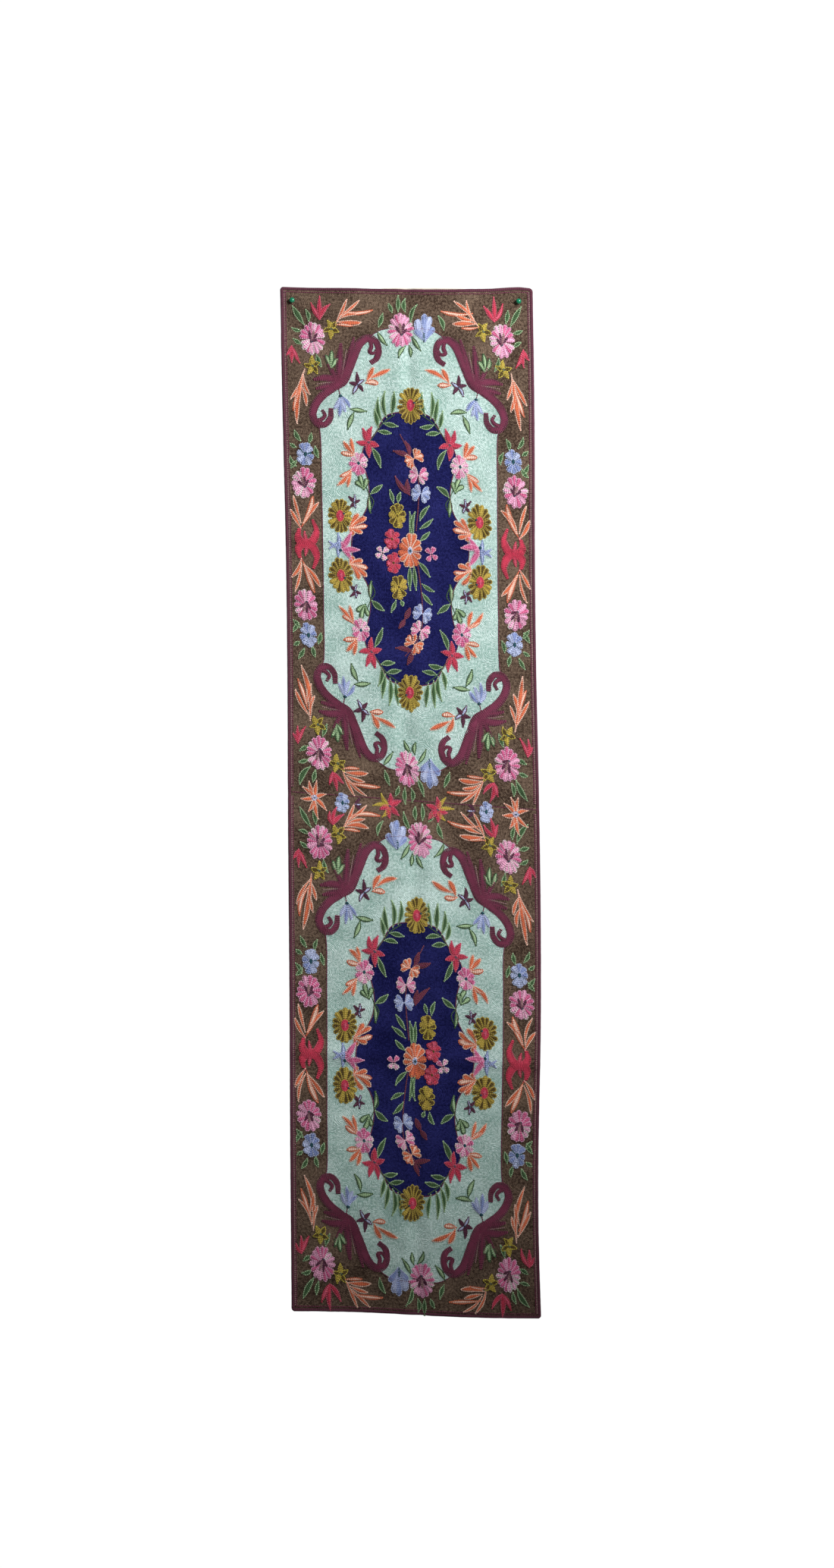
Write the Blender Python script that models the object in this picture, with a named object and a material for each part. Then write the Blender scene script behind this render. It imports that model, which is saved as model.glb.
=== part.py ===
"""Chain stitch wall hanging on its two push pins, in metres, +Z up.

The cloth hangs face out towards -Y. The wall it is pinned to is the plane y = 0, and the origin lies on
that plane, midway between the two pins. A place on the flat cloth is (u, v): u runs across from the
centre line, to the right as seen from the front, and v runs down from the top edge.
"""

import math

import bmesh
import bpy
from mathutils import Vector

# Flat cloth, as it was cut and bound
CLOTH_WIDTH = 0.450
CLOTH_LENGTH = 1.840
PANEL_THICKNESS = 0.0022
BINDING_WIDTH = 0.0062
BINDING_THICKNESS = 0.0040
CORNER_TURNS = (30, 60)
SEAM_GAP = 0.0003

# Push pins: each is a domed plastic head, waisted under the dome, on a steel needle
PIN_SPACING = 0.406
PIN_DROP = 0.019
PIN_TILT = 0.001
NEEDLE_RADIUS = 0.00055
NEEDLE_POINT = 0.003
NEEDLE_IN_WALL = 0.009
HEAD_RADIUS = 0.0049
HEAD_HEIGHT = 0.0082
FOOT_RADIUS = 0.0030
FOOT_RIM_RADIUS = 0.0032
WAIST_RADIUS = 0.0027
FOOT_RIM_HEIGHT = 0.0004
WAIST_HEIGHT = 0.0013
DOME_TURNS = range(-40, 90, 18)
SOCKET_DEPTH = 0.0045
HOLE_CUT_DEPTH = 0.04
ROUND_STEPS = 16

# How the cloth hangs. A row is (share of the length down, centre line's shift to the right,
# width between the side edges)
SIDES = (
    (0.00, 0.0020, 0.4530),
    (0.13, 0.0061, 0.4510),
    (0.26, 0.0092, 0.4460),
    (0.37, 0.0116, 0.4460),
    (0.50, 0.0150, 0.4500),
    (0.60, 0.0170, 0.4515),
    (0.71, 0.0177, 0.4500),
    (0.83, 0.0163, 0.4450),
    (0.91, 0.0170, 0.4440),
    (1.00, 0.0200, 0.4470),
)
# A row is (share of the length down, fall of the weft for each metre to the right)
WEFT_SLOPE = (
    (0.00, 0.005),
    (0.05, 0.018),
    (0.16, 0.036),
    (0.26, 0.052),
    (0.34, 0.047),
    (0.45, 0.060),
    (0.52, 0.078),
    (0.62, 0.074),
    (0.76, 0.054),
    (0.86, 0.050),
    (0.95, 0.060),
    (1.00, 0.030),
)
# The top edge sags between the pins and lifts over the right one: (share across, fall)
TOP_SAG = (
    (0.00, 0.0000),
    (0.25, 0.0036),
    (0.50, 0.0056),
    (0.68, 0.0050),
    (0.82, 0.0026),
    (0.94, -0.0014),
    (1.00, 0.0012),
)
TOP_SAG_REACH = 0.10
BOTTOM_WAVE = 0.0018
BOTTOM_WAVE_REACH = 0.12

# Fold creases. A row is (share of the length down, height of the ridge towards the room, half width)
CROSS_CREASES = (
    (0.250, 0.0026, 0.010),
    (0.500, -0.0030, 0.012),
    (0.750, 0.0032, 0.009),
)
# The lengthways crease is a trough: (share down, shift to the right, depth, half width)
LONG_CREASE = (
    (0.00, 0.003, 0.0036, 0.007),
    (0.12, 0.002, 0.0040, 0.008),
    (0.24, 0.000, 0.0022, 0.010),
    (0.40, -0.014, 0.0036, 0.014),
    (0.50, -0.004, 0.0020, 0.010),
    (0.62, 0.002, 0.0026, 0.012),
    (0.75, 0.004, 0.0020, 0.010),
    (0.92, 0.004, 0.0042, 0.010),
    (1.00, 0.006, 0.0046, 0.010),
)
# Each trough has a low shoulder either side: share of its depth, and times its half width
SHOULDER_RISE = 0.6
SHOULDER_SPREAD = 3.2

# Distance of the cloth's middle layer from the wall: pressed flat at a pin, free of it further off
STAND_OFF = 0.0015
FREE_STAND_OFF = 0.0040
PIN_FLAT_RADIUS = 0.014
PIN_FREE_RADIUS = 0.110
# The cloth bellies out, least at its side edges and at its foot
BELLY = 0.0075
BELLY_EDGE_LOSS = 0.35
BELLY_LEAST = 0.55
BELLY_START = 0.25
BELLY_RUN = 0.80
# Slack waves: (height, waves down the length, start as a share of a wave, lean across in radians)
SLACK_WAVES = (
    (0.0022, 2.3, 0.18, 1.4),
    (0.0013, 3.7, -0.10, -2.3),
)

# The top corner of the cloth lies this far above its pin
PIN_BELOW_TOP = PIN_DROP + 0.006

# Grid lines of the solids: more of them at the creases and round the pins
PANEL_COLUMNS = 20
PANEL_ROWS = 52
LINES_BESIDE_LONG_CREASE = 0.013
LINES_BESIDE_CROSS_CREASE = 0.016
COLUMNS_BESIDE_PIN = (-0.010, 0.010)
ROWS_BESIDE_PIN = (-0.004, 0.020)
BINDING_SIDES = 6
TANGENT_STEP = 0.0005

# Finishes: (linear colour, roughness, metallic)
EMBROIDERY = ((0.37, 0.55, 0.48), 0.9, 0.0)
EDGING = ((0.14, 0.03, 0.06), 0.85, 0.0)
PIN_PLASTIC = ((0.0, 0.16, 0.09), 0.25, 0.0)
PIN_STEEL = ((0.55, 0.56, 0.58), 0.3, 1.0)


def along(table, share, column):
    """Value of a table's column at a share of the way, on a smooth curve through its rows."""
    rows = [row for row in table if row[0] <= share]
    i = min(len(rows) - 1, len(table) - 2)
    a, b = table[i], table[i + 1]
    t = (share - a[0]) / (b[0] - a[0])
    before = table[max(i - 1, 0)]
    after = table[min(i + 2, len(table) - 1)]
    span = b[0] - a[0]
    slope_a = (b[column] - before[column]) / (b[0] - before[0]) * span
    slope_b = (after[column] - a[column]) / (after[0] - a[0]) * span
    return (
        (2 * t**3 - 3 * t**2 + 1) * a[column]
        + (t**3 - 2 * t**2 + t) * slope_a
        + (3 * t**2 - 2 * t**3) * b[column]
        + (t**3 - t**2) * slope_b
    )


def bell(distance, half_width):
    """Soft bump of height 1 that has faded out at about 2.5 half widths."""
    return math.exp(-0.5 * (distance / half_width) ** 2)


def released(distance):
    """Share of its full stand-off that the cloth has at this distance from a pin."""
    t = (distance - PIN_FLAT_RADIUS) / (PIN_FREE_RADIUS - PIN_FLAT_RADIUS)
    t = min(max(t, 0.0), 1.0)
    return t * t * (3 - 2 * t)


def pin_place(side):
    """(x, z) of a pin: side is -1 for the left one and 1 for the right one."""
    return side * PIN_SPACING / 2, -side * PIN_TILT


def stand_off(u, v, x, z):
    """Distance of the cloth's middle layer from the wall."""
    down = v / CLOTH_LENGTH
    half = CLOTH_WIDTH / 2
    across = u / half
    swell = math.sin(math.pi * min(1, BELLY_START + BELLY_RUN * down))
    belly = BELLY * (1 - BELLY_EDGE_LOSS * across**2) * (BELLY_LEAST + (1 - BELLY_LEAST) * swell)
    wave = sum(
        height * math.sin(2 * math.pi * (waves * down + start) + lean * across)
        for height, waves, start, lean in SLACK_WAVES
    )
    shift, depth, width = (along(LONG_CREASE, down, column) for column in (1, 2, 3))
    trough = depth * (SHOULDER_RISE * bell(u - shift, SHOULDER_SPREAD * width) - bell(u - shift, width))
    cross = sum(rise * bell(v - share * CLOTH_LENGTH, width) for share, rise, width in CROSS_CREASES)
    held = 1.0
    for side in (-1, 1):
        px, pz = pin_place(side)
        held *= released(math.hypot(x - px, z - pz))
    return STAND_OFF + held * (FREE_STAND_OFF + belly + wave + trough + cross)


def hang_point(u, v):
    """Point of the cloth's middle layer as it hangs."""
    down = min(max(v / CLOTH_LENGTH, 0.0), 1.0)
    across = min(max(u / CLOTH_WIDTH + 0.5, 0.0), 1.0)
    x = along(SIDES, down, 1) + u * along(SIDES, down, 2) / CLOTH_WIDTH
    sag = along(TOP_SAG, across, 1) * bell(v, TOP_SAG_REACH)
    wave = BOTTOM_WAVE * math.sin(2 * math.pi * across) * bell(CLOTH_LENGTH - v, BOTTOM_WAVE_REACH)
    z = PIN_BELOW_TOP - v - along(WEFT_SLOPE, down, 1) * u - sag + wave
    return Vector((x, -stand_off(u, v, x, z), z))


def hang_frame(u, v):
    """(point, unit vector across, unit vector down, unit normal towards the room) of the hanging cloth."""
    across = (hang_point(u + TANGENT_STEP, v) - hang_point(u - TANGENT_STEP, v)).normalized()
    down = (hang_point(u, v + TANGENT_STEP) - hang_point(u, v - TANGENT_STEP)).normalized()
    normal = down.cross(across).normalized()
    if normal.y > 0:
        normal.negate()
    return hang_point(u, v), across, down, normal


def material(name, finish):
    """Plain Principled material from a finish of linear colour, roughness and metallic."""
    colour, roughness, metallic = finish
    made = bpy.data.materials.new(name)
    made.use_nodes = True
    shader = made.node_tree.nodes["Principled BSDF"]
    shader.inputs["Base Color"].default_value = (*colour, 1.0)
    shader.inputs["Roughness"].default_value = roughness
    shader.inputs["Metallic"].default_value = metallic
    return made


def add_object(name, mesh_maker, surface, parent=None, smooth_angle=40):
    """One named object whose closed mesh mesh_maker fills, shaded smooth but for its sharp edges."""
    mesh = bpy.data.meshes.new(name)
    shape = bmesh.new()
    mesh_maker(shape)
    bmesh.ops.recalc_face_normals(shape, faces=shape.faces)
    shape.to_mesh(mesh)
    shape.free()
    mesh.materials.append(surface)
    mesh.shade_smooth()
    mesh.set_sharp_from_angle(angle=math.radians(smooth_angle))
    made = bpy.data.objects.new(name, mesh)
    made.parent = parent
    bpy.context.scene.collection.objects.link(made)
    return made


def spread(low, high, count, centres=(), reach=0.0):
    """count + 1 even places from low to high, each drawn onto a centre that it lies nearest to."""
    places = [low + (high - low) * i / count for i in range(count + 1)]
    for centre in centres:
        for offset in (-reach, 0.0, reach):
            inner = range(1, count)
            nearest = min(inner, key=lambda i: abs(places[i] - centre - offset))
            places[nearest] = centre + offset
    return sorted(places)


def panel_lines():
    """Places across and places down of the panel's grid, with lines along each crease and by the pins."""
    rim = BINDING_WIDTH + SEAM_GAP
    half = CLOTH_WIDTH / 2 - rim
    columns = spread(-half, half, PANEL_COLUMNS, [0.0], LINES_BESIDE_LONG_CREASE)
    creases = [share * CLOTH_LENGTH for share, _, _ in CROSS_CREASES]
    rows = spread(rim, CLOTH_LENGTH - rim, PANEL_ROWS, creases, LINES_BESIDE_CROSS_CREASE)
    pins = (-PIN_SPACING / 2, PIN_SPACING / 2)
    columns += [pin + offset for pin in pins for offset in COLUMNS_BESIDE_PIN]
    rows += [PIN_DROP + offset for offset in ROWS_BESIDE_PIN]
    return sorted(columns), sorted(rows)


def fill_panel(shape):
    """The embroidered cloth: one sheet of even thickness on its folds, closed round its rim."""
    columns, rows = panel_lines()
    layers = []
    for offset in (PANEL_THICKNESS / 2, -PANEL_THICKNESS / 2):
        layer = []
        for v in rows:
            line = []
            for u in columns:
                point, _, _, normal = hang_frame(u, v)
                line.append(shape.verts.new(point + normal * offset))
            layer.append(line)
        layers.append(layer)
    front, back = layers
    last_row, last_column = len(rows) - 1, len(columns) - 1
    for layer in layers:
        for j in range(last_row):
            for i in range(last_column):
                shape.faces.new((layer[j][i], layer[j][i + 1], layer[j + 1][i + 1], layer[j + 1][i]))
    rim = [(0, i) for i in range(last_column)]
    rim += [(j, last_column) for j in range(last_row)]
    rim += [(last_row, i) for i in range(last_column, 0, -1)]
    rim += [(j, 0) for j in range(last_row, 0, -1)]
    for n, (j, i) in enumerate(rim):
        nj, ni = rim[(n + 1) % len(rim)]
        shape.faces.new((front[j][i], front[nj][ni], back[nj][ni], back[j][i]))


def fill_strip(shape, stations):
    """A rolled strip through stations of (u, v, outward direction name, half width)."""
    corner = math.pi / BINDING_SIDES
    rings = []
    for u, v, toward, half_width in stations:
        point, across, down, normal = hang_frame(u, v)
        outward = across if toward == "side" else down
        ring = []
        for k in range(BINDING_SIDES):
            turn = 2 * math.pi * k / BINDING_SIDES + corner
            # The section's flat faces lie towards the cloth and away from it
            out = half_width * math.cos(turn) / math.cos(corner)
            rise = BINDING_THICKNESS / 2 * math.sin(turn)
            ring.append(shape.verts.new(point + outward * out + normal * rise))
        rings.append(ring)
    for near, far in zip(rings, rings[1:]):
        for k in range(BINDING_SIDES):
            m = (k + 1) % BINDING_SIDES
            shape.faces.new((near[k], near[m], far[m], far[k]))
    shape.faces.new(rings[0])
    shape.faces.new(reversed(rings[-1]))


def side_stations(side):
    """Stations of a side strip: it stops short of the strips at the top and the bottom."""
    _, rows = panel_lines()
    u = side * (CLOTH_WIDTH - BINDING_WIDTH) / 2
    return [(u, v, "side", BINDING_WIDTH / 2) for v in rows]


def end_stations(v):
    """Stations of the top or bottom strip, whose corners are rounded off."""
    columns, _ = panel_lines()
    half = CLOTH_WIDTH / 2
    inner = half - BINDING_WIDTH
    radius = BINDING_WIDTH
    places = [(u, 1.0) for u in columns]
    for degrees in CORNER_TURNS:
        reach = inner + radius * math.sin(math.radians(degrees))
        part = math.cos(math.radians(degrees))
        places.append((reach, part))
        places.insert(0, (-reach, part))
    sign = 1 if v < CLOTH_LENGTH / 2 else -1
    stations = []
    for u, part in places:
        # The strip narrows from its outer edge, so its inner edge stays beside the side strip
        narrowed = BINDING_WIDTH / 2 * (1 - part) * sign
        stations.append((u, v + narrowed, "end", BINDING_WIDTH / 2 * part))
    return stations


def fill_pin_head(shape):
    """Turned head about +Y, its foot at y = 0 and its crown at -Y, with a socket for the needle."""
    socket = NEEDLE_RADIUS + SEAM_GAP
    profile = [(0.0, -SOCKET_DEPTH), (socket, -SOCKET_DEPTH), (socket, 0.0), (FOOT_RADIUS, 0.0)]
    profile += [(FOOT_RIM_RADIUS, -FOOT_RIM_HEIGHT), (WAIST_RADIUS, -WAIST_HEIGHT)]
    half_dome = (HEAD_HEIGHT - WAIST_HEIGHT) / 2
    for degrees in DOME_TURNS:
        turn = math.radians(degrees)
        profile.append((HEAD_RADIUS * math.cos(turn), -WAIST_HEIGHT - half_dome * (1 + math.sin(turn))))
    profile.append((0.0, -HEAD_HEIGHT))
    revolve_about_y(shape, profile)


def fill_needle(shape, start, end):
    """Steel needle about +Y, from start inside the head to its point at end in the wall."""
    taper = end - NEEDLE_POINT
    revolve_about_y(shape, [(0.0, start), (NEEDLE_RADIUS, start), (NEEDLE_RADIUS, taper), (0.0, end)])


def revolve_about_y(shape, profile):
    """Closed turned solid from (radius, y) pairs whose first and last radius is 0."""
    first = shape.verts.new((0, profile[0][1], 0))
    last = shape.verts.new((0, profile[-1][1], 0))
    rings = []
    for radius, y in profile[1:-1]:
        turns = [2 * math.pi * k / ROUND_STEPS for k in range(ROUND_STEPS)]
        rings.append([shape.verts.new((radius * math.cos(t), y, radius * math.sin(t))) for t in turns])
    for k in range(ROUND_STEPS):
        m = (k + 1) % ROUND_STEPS
        shape.faces.new((first, rings[0][k], rings[0][m]))
        shape.faces.new((last, rings[-1][m], rings[-1][k]))
        for near, far in zip(rings, rings[1:]):
            shape.faces.new((near[k], far[k], far[m], near[m]))


def cut_needle_holes(panel):
    """Opens the panel where the needles pass, with a little room round each."""
    for side in (-1, 1):
        x, z = pin_place(side)
        bpy.ops.mesh.primitive_cylinder_add(
            vertices=ROUND_STEPS,
            radius=NEEDLE_RADIUS + SEAM_GAP,
            depth=HOLE_CUT_DEPTH,
            location=(x, 0, z),
            rotation=(math.pi / 2, 0, 0),
        )
        cutter = bpy.context.object
        cutter.name = "needle_hole_left" if side < 0 else "needle_hole_right"
        cutter.hide_render = True
        cutter.display_type = "WIRE"
        cut = panel.modifiers.new(cutter.name, "BOOLEAN")
        cut.operation = "DIFFERENCE"
        cut.solver = "EXACT"
        cut.object = cutter


def build_pins(plastic, steel):
    """A head and a needle for each pin, each pair placed by an empty."""
    front = -(STAND_OFF + PANEL_THICKNESS / 2 + 2 * SEAM_GAP)
    for side, word in ((-1, "left"), (1, "right")):
        x, z = pin_place(side)
        holder = bpy.data.objects.new(f"pin_{word}", None)
        holder.location = (x, front, z)
        bpy.context.scene.collection.objects.link(holder)
        add_object(f"pin_head_{word}", fill_pin_head, plastic, holder)
        add_object(
            f"pin_needle_{word}",
            lambda shape: fill_needle(shape, -SOCKET_DEPTH + SEAM_GAP, NEEDLE_IN_WALL - front),
            steel,
            holder,
        )


def build():
    """The whole hanging."""
    for old in list(bpy.data.objects):
        bpy.data.objects.remove(old)
    embroidery = material("chain_stitch_embroidery", EMBROIDERY)
    edging = material("maroon_edging", EDGING)
    plastic = material("green_plastic", PIN_PLASTIC)
    steel = material("needle_steel", PIN_STEEL)

    panel = add_object("embroidered_panel", fill_panel, embroidery)
    cut_needle_holes(panel)
    middle = BINDING_WIDTH / 2
    strips = {
        "binding_top": end_stations(middle),
        "binding_bottom": end_stations(CLOTH_LENGTH - middle),
        "binding_left": side_stations(-1),
        "binding_right": side_stations(1),
    }
    for name, stations in strips.items():
        add_object(name, lambda shape, rows=stations: fill_strip(shape, rows), edging)
    build_pins(plastic, steel)


build()
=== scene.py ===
"""Looks of the chain stitch wall hanging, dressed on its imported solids, in metres, +Z up.

The cloth hangs face out towards -Y on two push pins, and the wall is the plane y = 0. Everything sewn on
it is first drawn flat: u runs across from the centre line, to the right as seen from the front, v runs
down from the top edge, and a height stands off the cloth's middle layer. HangingSurface then hangs it.
"""

import logging
import math
import random
from collections.abc import Callable
from dataclasses import dataclass, field
from enum import Enum

import bpy
import numpy as np
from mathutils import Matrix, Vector
from mathutils.geometry import delaunay_2d_cdt


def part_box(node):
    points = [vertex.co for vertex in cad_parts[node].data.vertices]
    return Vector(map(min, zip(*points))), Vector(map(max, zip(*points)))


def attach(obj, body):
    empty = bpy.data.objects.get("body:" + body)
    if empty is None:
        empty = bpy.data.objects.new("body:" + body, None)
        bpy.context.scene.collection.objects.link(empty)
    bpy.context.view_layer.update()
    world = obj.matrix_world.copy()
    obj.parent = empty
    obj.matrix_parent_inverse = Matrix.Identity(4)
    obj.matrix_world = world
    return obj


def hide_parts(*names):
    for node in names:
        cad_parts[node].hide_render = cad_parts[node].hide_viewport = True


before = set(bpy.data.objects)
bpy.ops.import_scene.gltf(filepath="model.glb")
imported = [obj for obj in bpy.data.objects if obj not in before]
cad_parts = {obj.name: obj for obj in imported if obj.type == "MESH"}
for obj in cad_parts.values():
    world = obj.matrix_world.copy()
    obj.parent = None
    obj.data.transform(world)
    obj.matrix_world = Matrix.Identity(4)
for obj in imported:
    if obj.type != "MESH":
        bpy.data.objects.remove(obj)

LOG = logging.getLogger("wall_hanging")

Place = tuple[float, float]
Spot = tuple[float, float, float]
Table = tuple[tuple[float, ...], ...]

# The flat cloth and its two pins, as in the part's source
CLOTH_WIDTH = 0.450
CLOTH_LENGTH = 1.840
PANEL_THICKNESS = 0.0022
BINDING_WIDTH = 0.0062
BINDING_THICKNESS = 0.0040
PIN_SPACING = 0.406
PIN_DROP = 0.019
PIN_TILT = 0.001

# The layout counts squares of this size in the front view, right and down from its corner
SQUARE = 0.00136
PIN_MIDDLE = (534.5, 397.5)
PANEL_CENTRES_V = (0.470, 1.3825)

# One row of chain stitch
ROW_WIDTH = 0.0023
STITCH_PITCH = 0.0033
STITCH_LENGTH = 0.0048
# Rows of a band lie this many row widths apart, on a pad that ends this far inside the band's edge
ROW_GAP = 1.15
BAND_PAD_INSET = 0.0006
# Heights above the ground of what is stitched over what
LEAF_LEVEL = 0.0001
BLADE_LEVEL = 0.0002
BAND_LEVEL = 0.0003
PETAL_LEVEL = 0.0004
HEART_LEVEL = 0.0008
STAR_HEART_LEVEL = 0.0009
STROKE_LEVEL = 0.0012
RING_LEVEL = 0.0013
DOT_LEVEL = 0.0014

# Rounds that find the flat place of a hanging spot
UNHANG_STEPS = 6
SEED = 41


def linear(hex_colour: str) -> tuple[float, float, float, float]:
    """Linear RGBA of an sRGB hex colour.

    Args:
        hex_colour: Six hex digits.

    Returns:
        Red, green, blue and an alpha of 1.
    """
    channels = []
    for start in (0, 2, 4):
        value = int(hex_colour[start:start + 2], 16) / 255
        channels.append(value / 12.92 if value <= 0.04045 else ((value + 0.055) / 1.055) ** 2.4)
    return (*channels, 1.0)


def smooth_step(value: np.ndarray) -> np.ndarray:
    """Values held to 0..1 and eased at both ends."""
    held = np.clip(value, 0.0, 1.0)
    return held * held * (3 - 2 * held)


def bell(distance: np.ndarray, half_width: np.ndarray | float) -> np.ndarray:
    """Soft bump of height 1 that has faded out at about 2.5 half widths."""
    return np.exp(-0.5 * (distance / half_width) ** 2)


def along(table: Table, share: np.ndarray, column: int) -> np.ndarray:
    """Values of a table's column on a smooth curve through its rows.

    Args:
        table: Rows that start with their share of the way.
        share: Shares of the way to read at, 0 to 1.
        column: Column to read.

    Returns:
        One value for each share.
    """
    rows = np.array(table)
    count = len(rows)
    i = np.clip(np.searchsorted(rows[:, 0], share, side="right") - 1, 0, count - 2)
    start, end = rows[i], rows[i + 1]
    before = rows[np.maximum(i - 1, 0)]
    after = rows[np.minimum(i + 2, count - 1)]
    span = end[:, 0] - start[:, 0]
    t = (share - start[:, 0]) / span
    slope_start = (end[:, column] - before[:, column]) / (end[:, 0] - before[:, 0]) * span
    slope_end = (after[:, column] - start[:, column]) / (after[:, 0] - start[:, 0]) * span
    return (
        (2 * t**3 - 3 * t**2 + 1) * start[:, column]
        + (t**3 - 2 * t**2 + t) * slope_start
        + (3 * t**2 - 2 * t**3) * end[:, column]
        + (t**3 - t**2) * slope_end
    )


@dataclass(frozen=True)
class HangingSurface:
    """The cloth's middle layer as it hangs, with the folds that the part's source gives its solids."""

    # Share of the way down, then the middle's place and the width there
    sides: Table = (
        (0.00, 0.0020, 0.4530), (0.13, 0.0061, 0.4510), (0.26, 0.0092, 0.4460), (0.37, 0.0116, 0.4460),
        (0.50, 0.0150, 0.4500), (0.60, 0.0170, 0.4515), (0.71, 0.0177, 0.4500), (0.83, 0.0163, 0.4450),
        (0.91, 0.0170, 0.4440), (1.00, 0.0200, 0.4470),
    )
    # Share of the way down, then the weft's fall for each metre to the right
    weft_slope: Table = (
        (0.00, 0.005), (0.05, 0.018), (0.16, 0.036), (0.26, 0.052), (0.34, 0.047), (0.45, 0.060),
        (0.52, 0.078), (0.62, 0.074), (0.76, 0.054), (0.86, 0.050), (0.95, 0.060), (1.00, 0.030),
    )
    # Share of the way across, then how far the top edge sags there
    top_sag: Table = (
        (0.00, 0.0000), (0.25, 0.0036), (0.50, 0.0056), (0.68, 0.0050), (0.82, 0.0026), (0.94, -0.0014),
        (1.00, 0.0012),
    )
    top_sag_reach: float = 0.10
    bottom_wave: float = 0.0018
    bottom_wave_reach: float = 0.12
    # Share of the way down, then rise and half width
    cross_creases: Table = ((0.250, 0.0026, 0.010), (0.500, -0.0030, 0.012), (0.750, 0.0032, 0.009))
    # Share of the way down, then place across, depth and half width
    long_crease: Table = (
        (0.00, 0.003, 0.0036, 0.007), (0.12, 0.002, 0.0040, 0.008), (0.24, 0.000, 0.0022, 0.010),
        (0.40, -0.014, 0.0036, 0.014), (0.50, -0.004, 0.0020, 0.010), (0.62, 0.002, 0.0026, 0.012),
        (0.75, 0.004, 0.0020, 0.010), (0.92, 0.004, 0.0042, 0.010), (1.00, 0.006, 0.0046, 0.010),
    )
    shoulder_rise: float = 0.6
    shoulder_spread: float = 3.2
    pressed_stand_off: float = 0.0015
    free_stand_off: float = 0.0040
    pin_flat_radius: float = 0.014
    pin_free_radius: float = 0.110
    belly: float = 0.0075
    belly_edge_loss: float = 0.35
    belly_least: float = 0.55
    belly_start: float = 0.25
    belly_run: float = 0.80
    # Height, waves down the cloth, start, and lean across it
    slack_waves: Table = ((0.0022, 2.3, 0.18, 1.4), (0.0013, 3.7, -0.10, -2.3))
    # Stitching draws the cloth up a little: height, then waves per metre across and down
    puckers: Table = ((0.00030, 21.0, 9.0), (0.00028, -13.0, 17.0), (0.00022, 6.0, 26.0))
    pin_below_top: float = PIN_DROP + 0.006
    tangent_step: float = 0.0005

    def stand_off(self, u: np.ndarray, v: np.ndarray, x: np.ndarray, z: np.ndarray) -> np.ndarray:
        """Distance of the middle layer from the wall.

        Args:
            u: Places across the flat cloth.
            v: Places down the flat cloth.
            x: The same places as they hang, to the right of the pins' middle.
            z: The same places as they hang, above the pins' middle.

        Returns:
            One distance for each place.
        """
        down = np.clip(v / CLOTH_LENGTH, 0.0, 1.0)
        across = u / (CLOTH_WIDTH / 2)
        swell = np.sin(np.pi * np.minimum(1.0, self.belly_start + self.belly_run * down))
        bulge = self.belly * (1 - self.belly_edge_loss * across**2)
        bulge = bulge * (self.belly_least + (1 - self.belly_least) * swell)
        wave = np.zeros_like(u)
        for height, waves, start, lean in self.slack_waves:
            wave = wave + height * np.sin(2 * np.pi * (waves * down + start) + lean * across)
        shift, depth, width = (along(self.long_crease, down, column) for column in (1, 2, 3))
        shoulders = self.shoulder_rise * bell(u - shift, self.shoulder_spread * width)
        trough = depth * (shoulders - bell(u - shift, width))
        cross = np.zeros_like(u)
        for share, rise, half_width in self.cross_creases:
            cross = cross + rise * bell(v - share * CLOTH_LENGTH, half_width)
        for height, waves_across, waves_down in self.puckers:
            cross = cross + height * np.sin(2 * np.pi * (waves_across * u + waves_down * v))
        held = np.ones_like(u)
        for side in (-1, 1):
            px, pz = pin_place(side)
            distance = np.hypot(x - px, z - pz)
            reach = self.pin_free_radius - self.pin_flat_radius
            held = held * smooth_step((distance - self.pin_flat_radius) / reach)
        return self.pressed_stand_off + held * (self.free_stand_off + bulge + wave + trough + cross)

    def middle(self, u: np.ndarray, v: np.ndarray) -> np.ndarray:
        """Points of the middle layer.

        Args:
            u: Places across the flat cloth.
            v: Places down the flat cloth.

        Returns:
            An (n, 3) array of points as they hang.
        """
        down = np.clip(v / CLOTH_LENGTH, 0.0, 1.0)
        across = np.clip(u / CLOTH_WIDTH + 0.5, 0.0, 1.0)
        x = along(self.sides, down, 1) + u * along(self.sides, down, 2) / CLOTH_WIDTH
        sag = along(self.top_sag, across, 1) * bell(v, self.top_sag_reach)
        ripple = self.bottom_wave * np.sin(2 * np.pi * across)
        ripple = ripple * bell(CLOTH_LENGTH - v, self.bottom_wave_reach)
        z = self.pin_below_top - v - along(self.weft_slope, down, 1) * u - sag + ripple
        return np.stack((x, -self.stand_off(u, v, x, z), z), axis=1)

    def place(self, flat: np.ndarray) -> np.ndarray:
        """Hangs flat points.

        Args:
            flat: An (n, 3) array of (u, v, height towards the room).

        Returns:
            An (n, 3) array of points as they hang.
        """
        u, v, height = flat[:, 0], flat[:, 1], flat[:, 2]
        step = self.tangent_step
        rightward = self.middle(u + step, v) - self.middle(u - step, v)
        downward = self.middle(u, v + step) - self.middle(u, v - step)
        normal = np.cross(downward, rightward)
        normal /= np.linalg.norm(normal, axis=1, keepdims=True)
        normal *= np.where(normal[:, 1:2] > 0, -1.0, 1.0)
        return self.middle(u, v) + normal * height[:, None]


def pin_place(side: int) -> Place:
    """(x, z) of a pin: side is -1 for the left one and 1 for the right one."""
    return side * PIN_SPACING / 2, -side * PIN_TILT


CLOTH = HangingSurface()


def unhang(square_x: float, square_y: float) -> Place:
    """Flat place (u, v) of a spot in the front view.

    Args:
        square_x: Squares right of the layout's corner.
        square_y: Squares down from the layout's corner.

    Returns:
        The place that hangs at that spot.
    """
    x = (square_x - PIN_MIDDLE[0]) * SQUARE
    z = (PIN_MIDDLE[1] - square_y) * SQUARE
    u, v = x, -z
    for _ in range(UNHANG_STEPS):
        point = CLOTH.middle(np.array([u]), np.array([v]))[0]
        u += x - point[0]
        v -= z - point[2]
    return float(u), float(v)


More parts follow.
